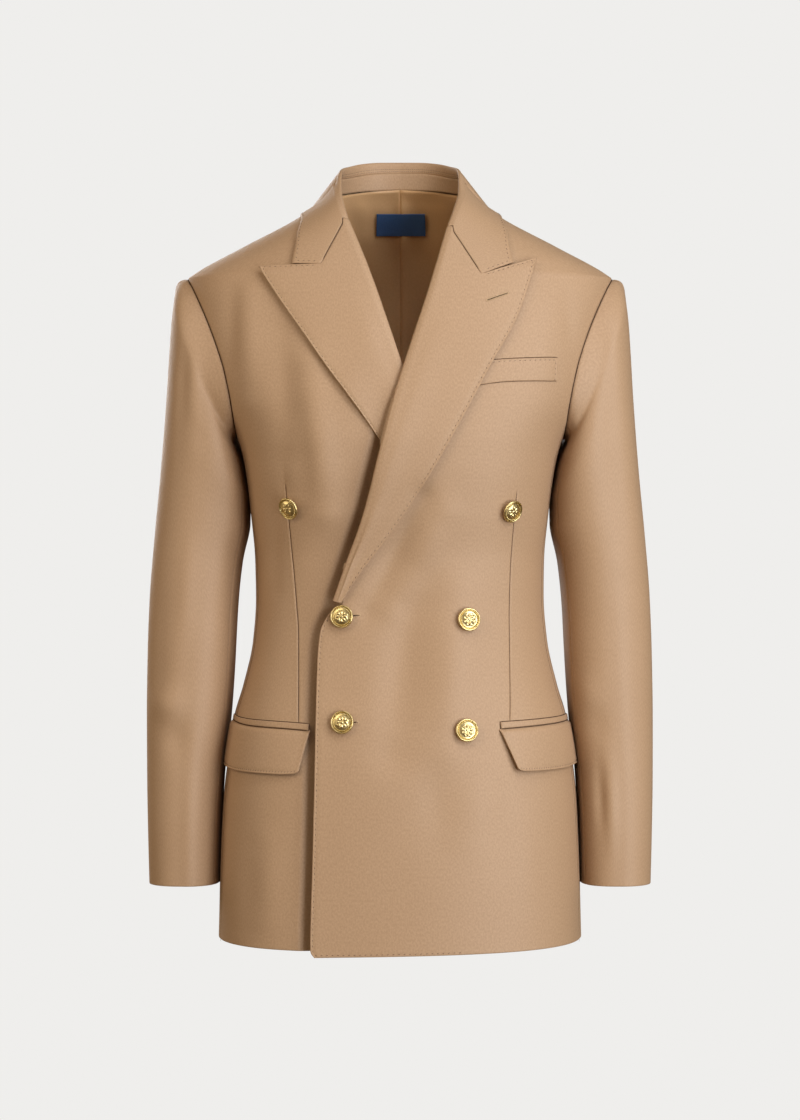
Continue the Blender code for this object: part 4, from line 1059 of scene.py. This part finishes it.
HALF_COLLAR_MM = 205.0
shares = np.concatenate([np.linspace(0, 1 - LIP[-1] / HALF_COLLAR_MM, 76),
                         1 - LIP[-2::-1] / HALF_COLLAR_MM])
right = collar_side(-1, shares)[::-1]
left = collar_side(1, shares)
face = np.concatenate([right, left[1:]])
n = surface_normals(face, (2, -6))
along = run_along(face, 0)
to_end = np.minimum(along, along[-1:] - along)
to_edge = run_along(face[:, ::-1], 1)[:, ::-1]
outer_half = np.arange(face.shape[1]) >= face.shape[1] - HALF
fall = rounded(to_edge, 0.8) + rounded(to_end, 0.8) * outer_half
seam = gutter(to_end, 0.6, 1.1) * ~outer_half
uv = np.stack([along - along[-1:] / 2, to_edge], -1)
collar = cloth('cloth_collar_fall', face - n * (fall + seam)[..., None],
               face - n * (FOLD_WALL - 0.3 * fall)[..., None], uv, (wool,), open_rims=(0.3, 1, 0.3, 1))
count, wide = face.shape[:2]
note_line('collar', collar, to_edge.shape,
          [(5, c) for c in range(wide - HALF + 2, wide - 3)] + [(r, wide - 3) for r in range(6, count - 6)]
          + [(count - 6, c) for c in range(wide - 4, wide - HALF + 1, -1)])
for column in (1, 2):
    note_line('inner_collar_%d' % column, collar, to_edge.shape,
              [(r, column) for r in range(34, count - 34)])
for row, word in ((0, 'right'), (count - 1, 'left')):
    line, line_n = corners(collar, range((row + 1) * wide - HALF - 1, (row + 1) * wide - 1))
    seam_line('notch_line_' + word, line + [0, 1.0, -0.5], line_n, 0.5, 0.5)

stand_shares = np.linspace(0, 0.87, 66)
top = np.concatenate([collar_side(-1, stand_shares)[:, 0][::-1], collar_side(1, stand_shares)[1:, 0]])
mirrored = neckline_at(stand_shares, -1) * np.array([-1, 1, 1])
seam = np.concatenate([mirrored[::-1], neckline_at(stand_shares, 1)[1:]]) + np.array([0, 0, 0.5])
inward = unit(-np.stack([seam[:, 0], seam[:, 1] - SIDE_Y, 0 * seam[:, 0]], -1))
foot = seam + inward * 2.0
share = np.linspace(0, 1, 10)[:, None, None]
face = top + (foot - top) * share
n = np.broadcast_to(-inward, face.shape)
uv = np.stack([run_along(face, 1) - 200, -run_along(face, 0)], -1)
stand = cloth('cloth_collar_stand', face, face + inward * FOLD_WALL, uv, (wool,), open_rims=(0, 0, 0, 0))
for piece, node in ((collar, 'collar_fall'), (stand, 'collar_stand')):
    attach(piece, 'root')
    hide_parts(node)

# -------------------------------------------------------------------- pockets
# Two hip pockets, each a narrow jet over a flap with slanted rounded corners, and
# a breast welt on the wearer's left, all of the twill, turned and pressed.

# Share of the pocket's length, then the heights of the jet's top, its foot and the flap's foot.
FLAP = {1: np.array([(0, -502.6, -508.9, -549.4), (.15, -501.9, -507.8, -550.0),
                     (.5, -500.4, -505.8, -549.2), (.75, -499.6, -504.8, -547.5),
                     (1, -499.0, -504.2, -546.8)]),
        -1: np.array([(0, -503.8, -509.9, -551.6), (.15, -502.9, -508.8, -552.6),
                      (.5, -502.0, -507.6, -551.6), (.75, -500.8, -505.6, -549.6),
                      (1, -498.8, -503.2, -547.6)])}
# x of the flap's front corners and angle of its rear ones, top and foot of each, and the
# heights at which those two x are taken.
FLAP_ENDS = {1: (93.3, 108.5, 84.0, 86.5), -1: (86.1, 96.0, 81.0, 86.5)}
FLAP_TOP_Z, FLAP_FOOT_Z = -508.0, -546.0
FLAP_WIDE, FLAP_DEEP, JET_DEEP, WELT_WIDE, WELT_DEEP, POCKET_PITCH = 84.0, 42.0, 8.0, 79.8, 23.0, 2.4
pocket_pieces = {}
for side, word in SIDES:
    x_top, x_foot, rear_top, rear_foot = FLAP_ENDS[side]
    start_top, start_foot = angle_at(x_top, FLAP_TOP_Z), angle_at(x_foot, FLAP_FOOT_Z)
    d, h = edge_cells(FLAP_WIDE, POCKET_PITCH)[None], edge_cells(FLAP_DEEP, 2.2)[:, None]
    u, v = d / FLAP_WIDE, h / FLAP_DEEP
    jet, foot = columns(FLAP[side], (2, 3), u)
    foot = foot + rounded(d, 4.2) + rounded(FLAP_WIDE - d, 1.2)
    angle = ((start_top + (start_foot - start_top) * v) * (1 - u)
             + (rear_top + (rear_foot - rear_top) * v) * u)
    z = (jet - 0.3) + (foot - jet + 0.3) * v
    to_edge = np.minimum(FLAP_DEEP - h, np.minimum(d, FLAP_WIDE - d))
    fold = rounded(to_edge, 0.9) + stitched_edge(to_edge)
    belly = 0.5 * np.sin(math.pi * np.clip(v, 0, 1)) * np.sin(math.pi * u) + 0.35 * v * np.sin(u * 7 + side)
    corner = (1.8 + 0.8 * side) * v * bell(d, 0, 14)
    lift = 3.3 + 0.9 * v - 2.7 * bell(h, 0, 2.2) + belly + corner
    pocket_pieces['hip_flap_' + word] = shell('cloth_hip_flap_' + word, side, angle, z, lift, fold, 1.8,
                                              (wool,))
    note_line('flap_' + word, pocket_pieces['hip_flap_' + word], to_edge.shape,
              [(to_edge.shape[0] - 6, c) for c in range(5, to_edge.shape[1] - 3)])
    d, h = edge_cells(FLAP_WIDE, POCKET_PITCH)[None], edge_cells(JET_DEEP, 1.5)[:, None]
    u, v = d / FLAP_WIDE, h / JET_DEEP
    top, jet = columns(FLAP[side], (1, 2), u)
    z = top + (jet - top) * v
    first, last = start_top + 0.8, rear_top + 0.4
    angle = first * (1 - u) + last * u + 0 * v
    inside = np.minimum(np.minimum(h, JET_DEEP - h), np.minimum(d, FLAP_WIDE - d))
    pocket_pieces['hip_jet_' + word] = shell('cloth_hip_jet_' + word, side, angle, z, 1.5,
                                             rounded(inside, 1.1), 1.2, (wool,))
    u = np.linspace(0, 1, 90)
    top, jet = columns(FLAP[side], (1, 2), u)
    along = first - 0.15 + (last - first + 0.15) * u
    seam_line('jet_top_line_' + word, *on_body(side, along, top + 0.35, 0.35), 0.42, 0.35)
    along = first - 0.1 + (last - first) * u
    seam_line('jet_foot_line_' + word, *on_body(side, along, jet - 0.35, 1.35), 0.42, 0.35)
    z = np.linspace(top[0] + 0.4, jet[0] - 3.0, 8)
    seam_line('jet_end_line_' + word, *on_body(side, first - 0.15 + 0 * z, z, 0.45), 0.4, 0.35)

# Share of the welt's length, heights of its top and its foot.
WELT = np.array([(0, -161.4, -184.8), (0.08, -161.0, -183.7), (0.42, -158.7, -180.2), (1, -156.1, -178.4)])
d, h = edge_cells(WELT_WIDE, POCKET_PITCH)[None], edge_cells(WELT_DEEP, 2.0)[:, None]
u, v = d / WELT_WIDE, h / WELT_DEEP
top, foot = columns(WELT, (1, 2), u)
z = top + (foot - top) * v
angle = angle_at(70 + 79.6 * u - (0.6 + 0.3 * u) * v, z)
to_edge = np.minimum(np.minimum(h, WELT_DEEP - h), WELT_WIDE - d)
detail = rounded(to_edge, 0.9) + stitched_edge(np.minimum(h, WELT_WIDE - d))
pocket_pieces['breast_welt'] = shell('cloth_breast_welt', 1, angle, z, 1.5 + 0.4 * (1 - v), detail, 1.1,
                                     (wool,))
note_line('welt', pocket_pieces['breast_welt'], to_edge.shape,
          [(5, c) for c in range(8, to_edge.shape[1] - 5)]
          + [(r, to_edge.shape[1] - 6) for r in range(6, to_edge.shape[0] - 4)])
u = np.linspace(0.03, 1, 60)
top, foot = columns(WELT, (1, 2), u)
seam_line('welt_top_line', *on_body(1, angle_at(70 + 79.6 * u, top), top + 0.3, 0.5), 0.5, 0.4)
seam_line('welt_foot_line', *on_body(1, angle_at(69.4 + 79.3 * u, foot), foot - 0.1, 0.0), 0.22, 0.25)
for node, piece in pocket_pieces.items():
    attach(piece, 'root')
    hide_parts(node)

# ----------------------------------------------------- lining and neck label
# The back is lined in bronze satin, sewn in at the neck and the hem with an ease
# pleat down the middle; a plain navy woven label is stitched under the collar.
LINING_PITCH, LABEL_WIDE, LABEL_DEEP = 4.4, 51.0, 21.2
for side, word in SIDES:
    at, left, right = panel_rows(*back_ends(2), LINING_PITCH)
    grid, d_middle, d_seam, _ = panel_grid(left, right, LINING_PITCH)
    angle, z = grid[..., 0], grid[..., 1]
    x = form(angle, z)[..., 0] * side
    slack = step((17 - z) / 14)
    ripple = (1.5 * np.sin(x / 6.2 + 1.3 * np.sin(z / 38 + 1) + 0.5 * side) * bell(z, -60, 80)
              + 0.8 * np.sin(x / 3.6 + z / 17) * bell(z, 4, 14)
              + 0.7 * np.sin(z / 11 + x / 17) * bell(z, -395, 50)
              + 0.5 * np.sin(x / 13 - z / 23 + 2))
    loose = 0.5 + slack * (0.9 + 0.55 * ripple) * np.clip(d_seam / 12, 0, 1)
    loose -= gutter(d_middle, 0.8, 1.2)
    high, at_mm, half = (1.8, 5, 4.5) if side > 0 else (1.0, 0, 3.5)
    pleat = high * bell(d_middle, at_mm, half)
    at_neck = bell(z, NECKLINE[-1][1], 4)
    loose = loose + pleat * slack + 1.9 * at_neck
    z = z + 1.4 * at_neck
    lining = shell('cloth_lining_' + word, side, angle, z, -1.6 - loose, 0.0, 0.5, (satin,),
                   rims=(1, 0, 1, 0))
    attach(lining, 'root')
    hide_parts('lining_' + word)

navy = cloth_finish('navy_label_weave', (0.026, 0.075, 0.200), (0.042, 0.110, 0.270), 0.0008, 0.7, 1.0,
                    0.6, 0.15, (0.8, 0.85, 1.0), 0.4, 0.4)
u, v = edge_cells(LABEL_WIDE, 2.0)[None], edge_cells(LABEL_DEEP, 2.0)[:, None]
x, z = 26.4 - u + 0 * v, 0.6 - v + 0 * u
a, _, b, _ = body_size(z)
base = np.stack([x, SIDE_Y + b * np.sqrt(1 - (x / a) ** 2), z], -1)
n = outward(base)
crimp = 0.12 * np.sin(x / 3.1) * np.sin(z / 4.3) + 0.1 * np.sin(x / 9)
to_edge = np.minimum(np.minimum(u, LABEL_WIDE - u), np.minimum(v, LABEL_DEEP - v))
lie = crimp + rounded(to_edge, 0.35) - 6.4
label = cloth('cloth_neck_label', base + n * lie[..., None], base + n * (crimp - 5.6)[..., None],
              np.stack([x, z], -1), (navy,), bulge=0.1)
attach(label, 'root')
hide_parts('neck_label')

# -------------------------------------------------------------------- buttons
# Six domed gilt metal buttons with a raised rim, a roped ring and a plain rosette
# struck in the middle, each held a little off the cloth by a thread shank.

# Node, side, x, height, and how far the button tips on its shank.
BUTTONS = [('button_chest_right', -1, 103.5, -298.7, 0.25), ('button_chest_left', 1, 104.5, -301.5, 0.22),
           ('button_waist_edge', 1, -54.0, -403.0, 0.0), ('button_waist_inner', 1, 63.5, -405.8, 0.0),
           ('button_hip_edge', 1, -53.7, -502.7, 0.0), ('button_hip_inner', 1, 62.2, -510.2, 0.0)]
# Radius and height over the cloth: shank, back, rim, then the channel round the struck face.
TURNED = [(0.0, 0.35), (2.3, 0.35), (2.6, 0.7), (2.4, 3.3), (5.0, 3.35), (8.6, 3.4), (9.8, 3.6), (10.7, 4.0),
          (11.0, 4.6), (10.95, 5.2), (10.6, 5.8), (10.1, 6.05), (9.6, 5.8), (9.3, 5.2), (9.1, 4.3)]
FACE_RADIUS, ROPE_RADIUS, ROPE_HEIGHT, BEADS, BEAD_RADIUS = 8.9, 8.25, 5.45, 40, 0.62
SEGMENTS, FACE_RINGS = 64, 26


def gilt_finish():
    """Polished gilt brass, a little duller and browner in patches."""
    material, tree, shader = blank_finish('gilt_metal')
    shader.inputs['Metallic'].default_value = 1.0
    place = tree.nodes.new('ShaderNodeTexCoord')
    patina = tree.nodes.new('ShaderNodeTexNoise')
    patina.inputs['Scale'].default_value = 260
    patina.inputs['Detail'].default_value = 4
    tone = tree.nodes.new('ShaderNodeMix')
    tone.data_type = 'RGBA'
    tone.inputs[6].default_value = (0.60, 0.44, 0.17, 1)
    tone.inputs[7].default_value = (0.84, 0.71, 0.38, 1)
    dulled = tree.nodes.new('ShaderNodeMapRange')
    dulled.inputs['To Min'].default_value = 0.24
    dulled.inputs['To Max'].default_value = 0.38
    join(tree, (place, 'Object', patina, 'Vector'), (patina, 'Fac', tone, 0), (tone, 2, shader, 'Base Color'),
         (patina, 'Fac', dulled, 'Value'), (dulled, 'Result', shader, 'Roughness'))
    return material


gilt = gilt_finish()


def struck(r, a):
    """Height of the struck face: low dome, ring, eight petals and a boss."""
    dome = 5.1 + 1.05 * (1 - (r / FACE_RADIUS) ** 2) - 0.8 * (r / FACE_RADIUS) ** 40
    petals = 0.85 * bell(r, 3.9, 1.5) * (0.5 + 0.5 * np.cos(8 * a)) ** 0.8
    leaves = 0.45 * bell(r, 5.6, 0.8) * (0.5 - 0.5 * np.cos(8 * a)) ** 3
    boss = 0.55 * np.exp(-(r / 1.25) ** 4) + 0.12 * bell(r, 2.0, 0.25)
    return dome + petals + leaves + boss


turn = 2 * math.pi * np.arange(SEGMENTS) / SEGMENTS
face_radii = np.linspace(FACE_RADIUS, 0, FACE_RINGS + 1)[:-1]
radii = np.array([r for r, _ in TURNED[1:]])[:, None] + 0 * turn
heights = np.array([h for _, h in TURNED[1:]])[:, None] + 0 * turn
radii = np.concatenate([radii, face_radii[:, None] + 0 * turn])
heights = np.concatenate([heights, struck(face_radii[:, None], turn[None])])
rings = len(radii)
button_points = np.stack([radii * np.cos(turn), radii * np.sin(turn), heights], -1).reshape(-1, 3)
button_points = np.concatenate([button_points, [(0, 0, TURNED[0][1]), (0, 0, float(struck(0.0, 0.0)))]])
ring_start = np.arange(rings - 1)[:, None] * SEGMENTS
here, after = np.arange(SEGMENTS), (np.arange(SEGMENTS) + 1) % SEGMENTS
button_faces = np.stack([ring_start + here, ring_start + after, ring_start + SEGMENTS + after,
                         ring_start + SEGMENTS + here], -1).reshape(-1, 4)
even = np.arange(0, SEGMENTS, 2)
foot_fan = np.stack([0 * even + rings * SEGMENTS, (even + 2) % SEGMENTS, even + 1, even], -1)
top_start = (rings - 1) * SEGMENTS
top_fan = np.stack([top_start + even, top_start + even + 1, top_start + (even + 2) % SEGMENTS,
                    0 * even + rings * SEGMENTS + 1], -1)
button_faces = np.concatenate([button_faces, foot_fan, top_fan])


def rope_tree():
    """Slanted beads set round a circle."""
    tree = bpy.data.node_groups.new('roped_ring', 'GeometryNodeTree')
    tree.interface.new_socket(name='Radius', in_out='INPUT', socket_type='NodeSocketFloat')
    tree.interface.new_socket(name='Beads', in_out='INPUT', socket_type='NodeSocketInt')
    tree.interface.new_socket(name='Bead radius', in_out='INPUT', socket_type='NodeSocketFloat')
    tree.interface.new_socket(name='Geometry', in_out='OUTPUT', socket_type='NodeSocketGeometry')
    new = tree.nodes.new
    given, made = new('NodeGroupInput'), new('NodeGroupOutput')
    circle, points = new('GeometryNodeCurvePrimitiveCircle'), new('GeometryNodeCurveToPoints')
    circle.inputs['Resolution'].default_value = 96
    bead, place = new('GeometryNodeMeshUVSphere'), new('GeometryNodeInstanceOnPoints')
    bead.inputs['Segments'].default_value = 8
    bead.inputs['Rings'].default_value = 6
    real, finish = new('GeometryNodeRealizeInstances'), new('GeometryNodeSetMaterial')
    finish.inputs['Material'].default_value = gilt
    slant = new('FunctionNodeRotateRotation')
    slant.rotation_space = 'LOCAL'
    slant.inputs['Rotate By'].default_value = (math.radians(38), 0, 0)
    place.inputs['Scale'].default_value = (0.75, 0.62, 1.45)
    join(tree, (given, 'Radius', circle, 'Radius'), (given, 'Beads', points, 'Count'),
         (given, 'Bead radius', bead, 'Radius'), (circle, 'Curve', points, 'Curve'),
         (points, 'Points', place, 'Points'), (points, 'Rotation', slant, 'Rotation'),
         (slant, 'Rotation', place, 'Rotation'), (bead, 'Mesh', place, 'Instance'),
         (place, 'Instances', real, 'Geometry'), (real, 'Geometry', finish, 'Geometry'),
         (finish, 'Geometry', made, 'Geometry'))
    return tree


def grown(name, tree, values, source=None):
    """Plain mesh of what a geometry tree makes; values go in by socket name."""
    mesh = source or bpy.data.meshes.new(name)
    holder = put(name + '_source', mesh)
    modifier = holder.modifiers.new('grow', 'NODES')
    modifier.node_group = tree
    for item in tree.interface.items_tree:
        if item.in_out == 'INPUT' and item.name in values:
            modifier[item.identifier] = values[item.name]
    evaluated = holder.evaluated_get(bpy.context.evaluated_depsgraph_get())
    plain = bpy.data.meshes.new_from_object(evaluated)
    plain.name = name
    holder.modifiers.clear()
    bpy.data.objects.remove(holder)
    return plain


rope = grown('roped_ring', rope_tree(),
             {'Radius': ROPE_RADIUS, 'Beads': BEADS, 'Bead radius': BEAD_RADIUS})
rope_points = np.zeros(len(rope.vertices) * 3)
rope.vertices.foreach_get('co', rope_points)
rope_points = rope_points.reshape(-1, 3) + (0, 0, ROPE_HEIGHT)
rope_faces = [tuple(polygon.vertices) for polygon in rope.polygons]
for name, side, x, z, lean in BUTTONS:
    base = front_point(x, z)
    n = outward(base)
    face_way = unit(n + lean * np.array([0.5, 0.0, -0.86]))
    sink = recede(-base[0], base[2]) if side < 0 else 0.0
    u = unit(np.cross([0, 0, 1.0], face_way))
    axes = np.stack([u, np.cross(face_way, u), face_way])
    rest = base + n * (float(drape(angle_at(x, z), np.array(x * side), np.array(z))) - sink)
    flip = np.array([side, 1, 1])
    faces = button_faces if side > 0 else button_faces[:, ::-1]
    body = mesh_piece(name + '_gilt', (rest + button_points @ axes) * flip, faces, None, (gilt,))
    ring = bpy.data.meshes.new(name + '_rope')
    ring.from_pydata(((rest + rope_points @ axes) * flip * 0.001).tolist(), [],
                     rope_faces if side > 0 else [f[::-1] for f in rope_faces])
    ring.materials.append(gilt)
    ring.polygons.foreach_set('use_smooth', [True] * len(ring.polygons))
    roped = put(name + '_rope', ring)
    for piece in (body, roped):
        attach(piece, 'root')
    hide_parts(name)

# ------------------------------------------------- pick stitches, buttonholes
# Fine hand-look pick stitches of camel silk just inside the pressed edges, wider
# slanted ones along the flaps, their thread darkened as painted shade of the dimples
# it sinks into, and worked buttonholes with a whipped edge.
def thread_finish(name, colour):
    """Dull silk thread."""
    material, _, shader = blank_finish(name)
    shader.inputs['Base Color'].default_value = (*colour, 1)
    shader.inputs['Roughness'].default_value = 0.7
    shader.inputs['Specular IOR Level'].default_value = 0.3
    return material


# Pick and flap threads: camel silk made darker with painted shade of the dimples the stitches sink into.
pick_thread_painted_shade = thread_finish('camel_pick_thread_painted_dimple_shade', (0.120, 0.072, 0.042))
flap_thread_painted_shade = thread_finish('camel_flap_thread', (0.150, 0.092, 0.054))
silk_twist = thread_finish('camel_buttonhole_twist', (0.600, 0.430, 0.260))


def stitch_tree():
    """Short strands along an edge mesh whose attribute 'up' is the way out of the cloth."""
    tree = bpy.data.node_groups.new('stitches', 'GeometryNodeTree')
    face = tree.interface
    face.new_socket(name='Geometry', in_out='INPUT', socket_type='NodeSocketGeometry')
    for label, kind in (('Pitch', 'NodeSocketFloat'), ('Length', 'NodeSocketFloat'),
                        ('Thickness', 'NodeSocketFloat'), ('Slant', 'NodeSocketFloat'),
                        ('Unevenness', 'NodeSocketFloat'), ('Seed', 'NodeSocketInt'),
                        ('Thread', 'NodeSocketMaterial')):
        face.new_socket(name=label, in_out='INPUT', socket_type=kind)
    face.new_socket(name='Geometry', in_out='OUTPUT', socket_type='NodeSocketGeometry')
    new, link = tree.nodes.new, tree.links.new
    given, made = new('NodeGroupInput'), new('NodeGroupOutput')
    curve, even = new('GeometryNodeMeshToCurve'), new('GeometryNodeResampleCurve')
    even.mode = 'LENGTH'
    points = new('GeometryNodeCurveToPoints')
    points.mode = 'EVALUATED'
    out_way = new('GeometryNodeInputNamedAttribute')
    out_way.data_type = 'FLOAT_VECTOR'
    out_way.inputs['Name'].default_value = 'up'
    stand, turn_to = new('FunctionNodeAlignRotationToVector'), new('FunctionNodeAlignRotationToVector')
    stand.axis, turn_to.axis, turn_to.pivot_axis = 'Z', 'X', 'Z'
    uneven = new('FunctionNodeRandomValue')
    uneven.data_type = 'FLOAT'
    low, high, seed = [[s for s in uneven.inputs if s.enabled and s.name == label][0]
                       for label in ('Min', 'Max', 'Seed')]
    low.default_value, high.default_value = -0.3, 0.3
    jitter, lean, slant = new('ShaderNodeMath'), new('ShaderNodeMath'), new('FunctionNodeRotateRotation')
    jitter.operation, lean.operation, slant.rotation_space = 'MULTIPLY', 'ADD', 'LOCAL'
    turned, size = new('ShaderNodeCombineXYZ'), new('ShaderNodeCombineXYZ')
    strand, place = new('GeometryNodeMeshUVSphere'), new('GeometryNodeInstanceOnPoints')
    strand.inputs['Segments'].default_value = 6
    strand.inputs['Rings'].default_value = 4
    strand.inputs['Radius'].default_value = 0.5
    real, finish = new('GeometryNodeRealizeInstances'), new('GeometryNodeSetMaterial')
    link(given.outputs['Seed'], seed)
    link([s for s in out_way.outputs if s.enabled][0], stand.inputs['Vector'])
    link([s for s in uneven.outputs if s.enabled][0], jitter.inputs[0])
    join(tree, (given, 'Geometry', curve, 'Mesh'), (curve, 'Curve', even, 'Curve'),
         (given, 'Pitch', even, 'Length'), (even, 'Curve', points, 'Curve'),
         (stand, 'Rotation', turn_to, 'Rotation'), (points, 'Tangent', turn_to, 'Vector'),
         (given, 'Unevenness', jitter, 1), (given, 'Slant', lean, 0), (jitter, 0, lean, 1),
         (lean, 0, turned, 'Z'), (turn_to, 'Rotation', slant, 'Rotation'), (turned, 0, slant, 'Rotate By'),
         (given, 'Length', size, 'X'), (given, 'Thickness', size, 'Y'), (given, 'Thickness', size, 'Z'),
         (points, 'Points', place, 'Points'), (slant, 'Rotation', place, 'Rotation'),
         (size, 0, place, 'Scale'), (strand, 'Mesh', place, 'Instance'),
         (place, 'Instances', real, 'Geometry'), (real, 'Geometry', finish, 'Geometry'),
         (given, 'Thread', finish, 'Material'), (finish, 'Geometry', made, 'Geometry'))
    return tree


stitches = stitch_tree()


def sew(name, points, normals, pitch, length, thickness, slant, thread, seed, closed=False):
    """Row of stitches along a line of points in mm."""
    count = len(points)
    ends = np.arange(count if closed else count - 1)
    source = bpy.data.meshes.new(name + '_line')
    source.from_pydata((np.asarray(points) * 0.001).tolist(),
                       [(int(i), int((i + 1) % count)) for i in ends], [])
    up = source.attributes.new('up', 'FLOAT_VECTOR', 'POINT')
    up.data.foreach_set('vector', np.asarray(normals).ravel())
    values = {'Pitch': pitch * 0.001, 'Length': length * 0.001, 'Thickness': thickness * 0.001,
              'Slant': slant, 'Unevenness': 0.6, 'Seed': seed, 'Thread': thread}
    mesh = grown(name, stitches, values, source)
    mesh.polygons.foreach_set('use_smooth', [True] * len(mesh.polygons))
    row = put(name, mesh)
    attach(row, 'root')
    return row


# Pitch, length and thickness in mm, slant in radians, thread.
STITCHES = {'flap': (3.2, 2.9, 0.6, 1.05, flap_thread_painted_shade), 'inner': (2.1, 1.4, 0.46, 0.1, pick_thread_painted_shade),
            'pick': (5.2, 2.2, 0.62, 0.25, pick_thread_painted_shade)}
for seed, (word, (points, normals)) in enumerate(sorted(stitch_lines.items())):
    sew('stitches_' + word, points, normals, *STITCHES.get(word.split('_')[0], STITCHES['pick']), seed)


def buttonhole(name, start, end, layer, half=0.75):
    """Slit with a whipped edge on the wearer's left, from one x, height to the other."""
    t = np.linspace(0, 1, 12)[:, None]
    start, end = np.array(start), np.array(end)
    middle = start + (end - start) * t
    along = unit(end - start)
    beside = np.array([-along[1], along[0]]) * half
    loop = np.concatenate([middle + beside, [end + along * half],
                           middle[::-1] - beside, [start - along * half]])
    made = []
    for line, lift in ((loop, 0.12), (middle, 0.10)):
        x, z = line.T
        on_cloth = layer + lift + drape(angle_at(x, z), x, z)
        made.append((front_point(x, z, on_cloth), outward(front_point(x, z))))
    sew(name + '_whipping', *made[0], 0.55, 1.1, 0.62, math.pi / 2, silk_twist, 7, closed=True)
    seam_line(name + '_slit', *made[1], half * 0.5, 0.4)


buttonhole('buttonhole_waist', (-58.0, -403.0), (-38.6, -401.4), 0.0, 1.15)
buttonhole('buttonhole_hip', (-58.0, -502.7), (-40.2, -502.4), 0.0, 1.15)
buttonhole('buttonhole_lapel', (81.4, -104.6), (101.2, -97.2), LIFT + 0.3)

# ---------------------------------------------------------- the cut of the cloth
# Every sheet with the width, length and area it was cut to where it shows, what it
# hangs from or lies on, and the sewing that goes with it.  Sizes are in metres.
CUT = {'cloth_front_%s': (0.305, 0.729, 0.1715, 'hung', ['cloth_top_sleeve_%s'],
                          ['dart_line_%s', 'front_side_line_%s']),
       'cloth_side_%s': (0.115, 0.498, 0.0400, 'hung', ['cloth_front_%s', 'cloth_back_%s'], []),
       'cloth_back_%s': (0.229, 0.738, 0.1361, 'hung', ['cloth_front_%s'], ['back_side_line_%s']),
       'cloth_top_sleeve_%s': (0.242, 0.602, 0.1230, 'hung', ['cloth_front_%s', 'cloth_back_%s'],
                               ['armhole_line_%s']),
       'cloth_under_sleeve_%s': (0.074, 0.476, 0.0336, 'hung', ['cloth_top_sleeve_%s'], []),
       'cloth_lapel_%s': (0.110, 0.385, 0.0240, 'folded', ['cloth_front_%s'],
                          ['stitches_lapel_%s', 'gorge_line_%s']),
       'cloth_hip_jet_%s': (0.128, 0.011, 0.0008, 'laid', ['cloth_front_%s'],
                            ['jet_top_line_%s', 'jet_foot_line_%s', 'jet_end_line_%s']),
       'cloth_hip_flap_%s': (0.142, 0.048, 0.0060, 'hung', ['cloth_hip_jet_%s'], ['stitches_flap_%s']),
       'cloth_lining_%s': (0.232, 0.709, 0.1285, 'hung', ['cloth_back_%s'], []),
       'cloth_collar_fall': (0.430, 0.080, 0.0279, 'folded', ['cloth_collar_stand'],
                             ['stitches_collar', 'stitches_inner_collar_1', 'stitches_inner_collar_2',
                              'notch_line_left', 'notch_line_right']),
       'cloth_collar_stand': (0.298, 0.018, 0.0045, 'laid', ['cloth_back_left', 'cloth_back_right'], []),
       'cloth_breast_welt': (0.081, 0.026, 0.0020, 'laid', ['cloth_front_left'],
                             ['stitches_welt', 'welt_top_line', 'welt_foot_line']),
       'cloth_neck_label': (0.051, 0.0215, None, 'laid', ['cloth_lining_left', 'cloth_lining_right'], [])}
for pattern, (wide, long, area, held, below, sewn) in CUT.items():
    for word in ('left', 'right') if '%s' in pattern else ('',):
        name, under, on_it = [[n.replace('%s', word) for n in names] for names in ([pattern], below, sewn)]
